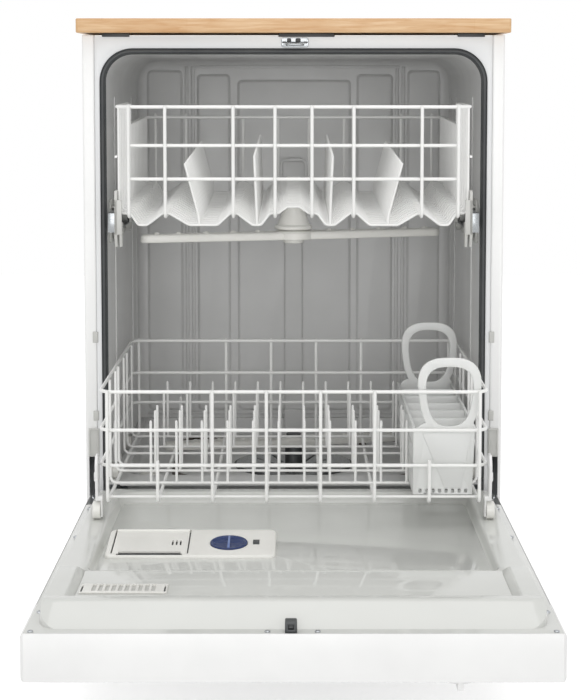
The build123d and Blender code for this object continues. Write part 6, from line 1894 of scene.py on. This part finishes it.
@dataclass(frozen=True)
class Studio:
    """The camera, the floor and the soft lights round the machine."""

    lens: float = 90.55
    distance: float = 2601.0
    eye_height: float = 813.9
    tilt: float = 4.9
    shift: tuple[float, float] = (-2 / 700, -0.16)
    ambient: float = 0.67
    floor_lift: float = 0.42
    floor_size: float = 10.0
    aim: Point = (0, 100, 450)
    lamps: tuple[tuple[str, Point, float, float], ...] = (
        ("front_panel", (0, -7500, 1300), 5.0, 215.0),
        ("over_panel", (0, -300, 4800), 3.5, 60.0))

    def camera(self) -> None:
        """Add a level, long-lens camera in front of the open door."""
        clear_selection()
        bpy.ops.object.camera_add(location=place(0, -self.distance, self.eye_height),
                                  rotation=(math.radians(90 - self.tilt), 0, 0))
        camera = bpy.context.object
        camera.data.lens = self.lens
        camera.data.shift_x, camera.data.shift_y = self.shift
        bpy.context.scene.camera = camera

    def seen_white(self, tree: bpy.types.NodeTree, hidden: float, shown: float) -> bpy.types.NodeSocket:
        """Give one strength to the rays that see a surface and another to the rays that light the machine.

        Args:
            tree: The node tree of the floor or the world.
            hidden: The strength that lights the machine.
            shown: The strength for the camera, reflections and clear parts.

        Returns:
            The strength.
        """
        rays = add_node(tree, "ShaderNodeLightPath").outputs
        seen = rays["Is Camera Ray"]
        for other in ("Is Glossy Ray", "Is Transmission Ray"):
            seen = add_node(tree, "ShaderNodeMath", {0: seen, 1: rays[other]}, operation="MAXIMUM").outputs[0]
        return add_node(tree, "ShaderNodeMapRange", {"Value": seen, "To Min": hidden,
                                                     "To Max": shown}).outputs["Result"]

    def floor(self) -> None:
        """Add a plain pale floor that reads as white and keeps the machine's soft shadow."""
        clear_selection()
        bpy.ops.mesh.primitive_plane_add(size=self.floor_size)
        floor = bpy.context.object
        floor.name = "studio_floor"
        made = bpy.data.materials.new("seamless_paper_white")
        made.use_nodes = True
        tree = made.node_tree
        surface = surface_of(tree)
        surface["Base Color"].default_value = linear("#F2F2F2")
        surface["Roughness"].default_value = 0.9
        surface["Emission Color"].default_value = (1, 1, 1, 1)
        tree.links.new(self.seen_white(tree, 0.0, self.floor_lift), surface["Emission Strength"])
        floor.data.materials.append(made)

    def lights(self) -> None:
        """Add a white world, a broad front light and one over the machine."""
        world = bpy.data.worlds.new("studio_white")
        world.use_nodes = True
        tree = world.node_tree
        backdrop = tree.nodes["Background"]
        backdrop.inputs["Color"].default_value = (1, 1, 1, 1)
        tree.links.new(self.seen_white(tree, self.ambient, 1.0), backdrop.inputs["Strength"])
        bpy.context.scene.world = world
        for name, where, size, power in self.lamps:
            clear_selection()
            bpy.ops.object.light_add(type="AREA", location=place(*where))
            lamp = bpy.context.object
            lamp.name = name
            lamp.data.size = size
            lamp.data.energy = power
            aim = place(*self.aim) - lamp.location
            lamp.rotation_euler = aim.to_track_quat("-Z", "Y").to_euler()

    def build(self) -> None:
        """Add the whole studio."""
        bpy.context.scene.view_settings.view_transform = "Standard"
        self.camera()
        self.floor()
        self.lights()


def main() -> None:
    """Dress the frame, build every piece in order and set up the studio."""
    logging.basicConfig(level=logging.INFO, format="%(name)s: %(message)s")
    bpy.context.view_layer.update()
    dress_frame()
    upper_arm = SprayArm("upper_arm_moulding", "upper_spray_arm", centre=113.0, low=580.0, radius=240.0,
                         hub=30.0, bore=10.05, angle=16.5)
    lower_arm = SprayArm("lower_arm_moulding", "lower_spray_arm", centre=270.0, low=226.0, radius=215.0,
                         hub=24.0, bore=8.05, angle=12.0)
    for assembly in (Worktop(), Tub(), WaterDuct(), DoorSeal(), DoorLiner(), Dispenser(), VentPlate(),
                     upper_arm, lower_arm, FeedPipe(), UpperRack(), LowerRack(), CutleryBasket(),
                     LatchStrike(), DoorHinges(), PanScrews(), FrameTrim(),
                     CasterWheel("front_caster_wheel_left", ((-255.0, 88.0),)),
                     CasterWheel("front_caster_wheel_right", ((255.0, 88.0),)),
                     CasterWheel("rear_caster_wheels", ((-255.0, 545.0), (255.0, 545.0))), *EASED):
        assembly.build()
    Studio().build()


if __name__ == "__main__":
    main()
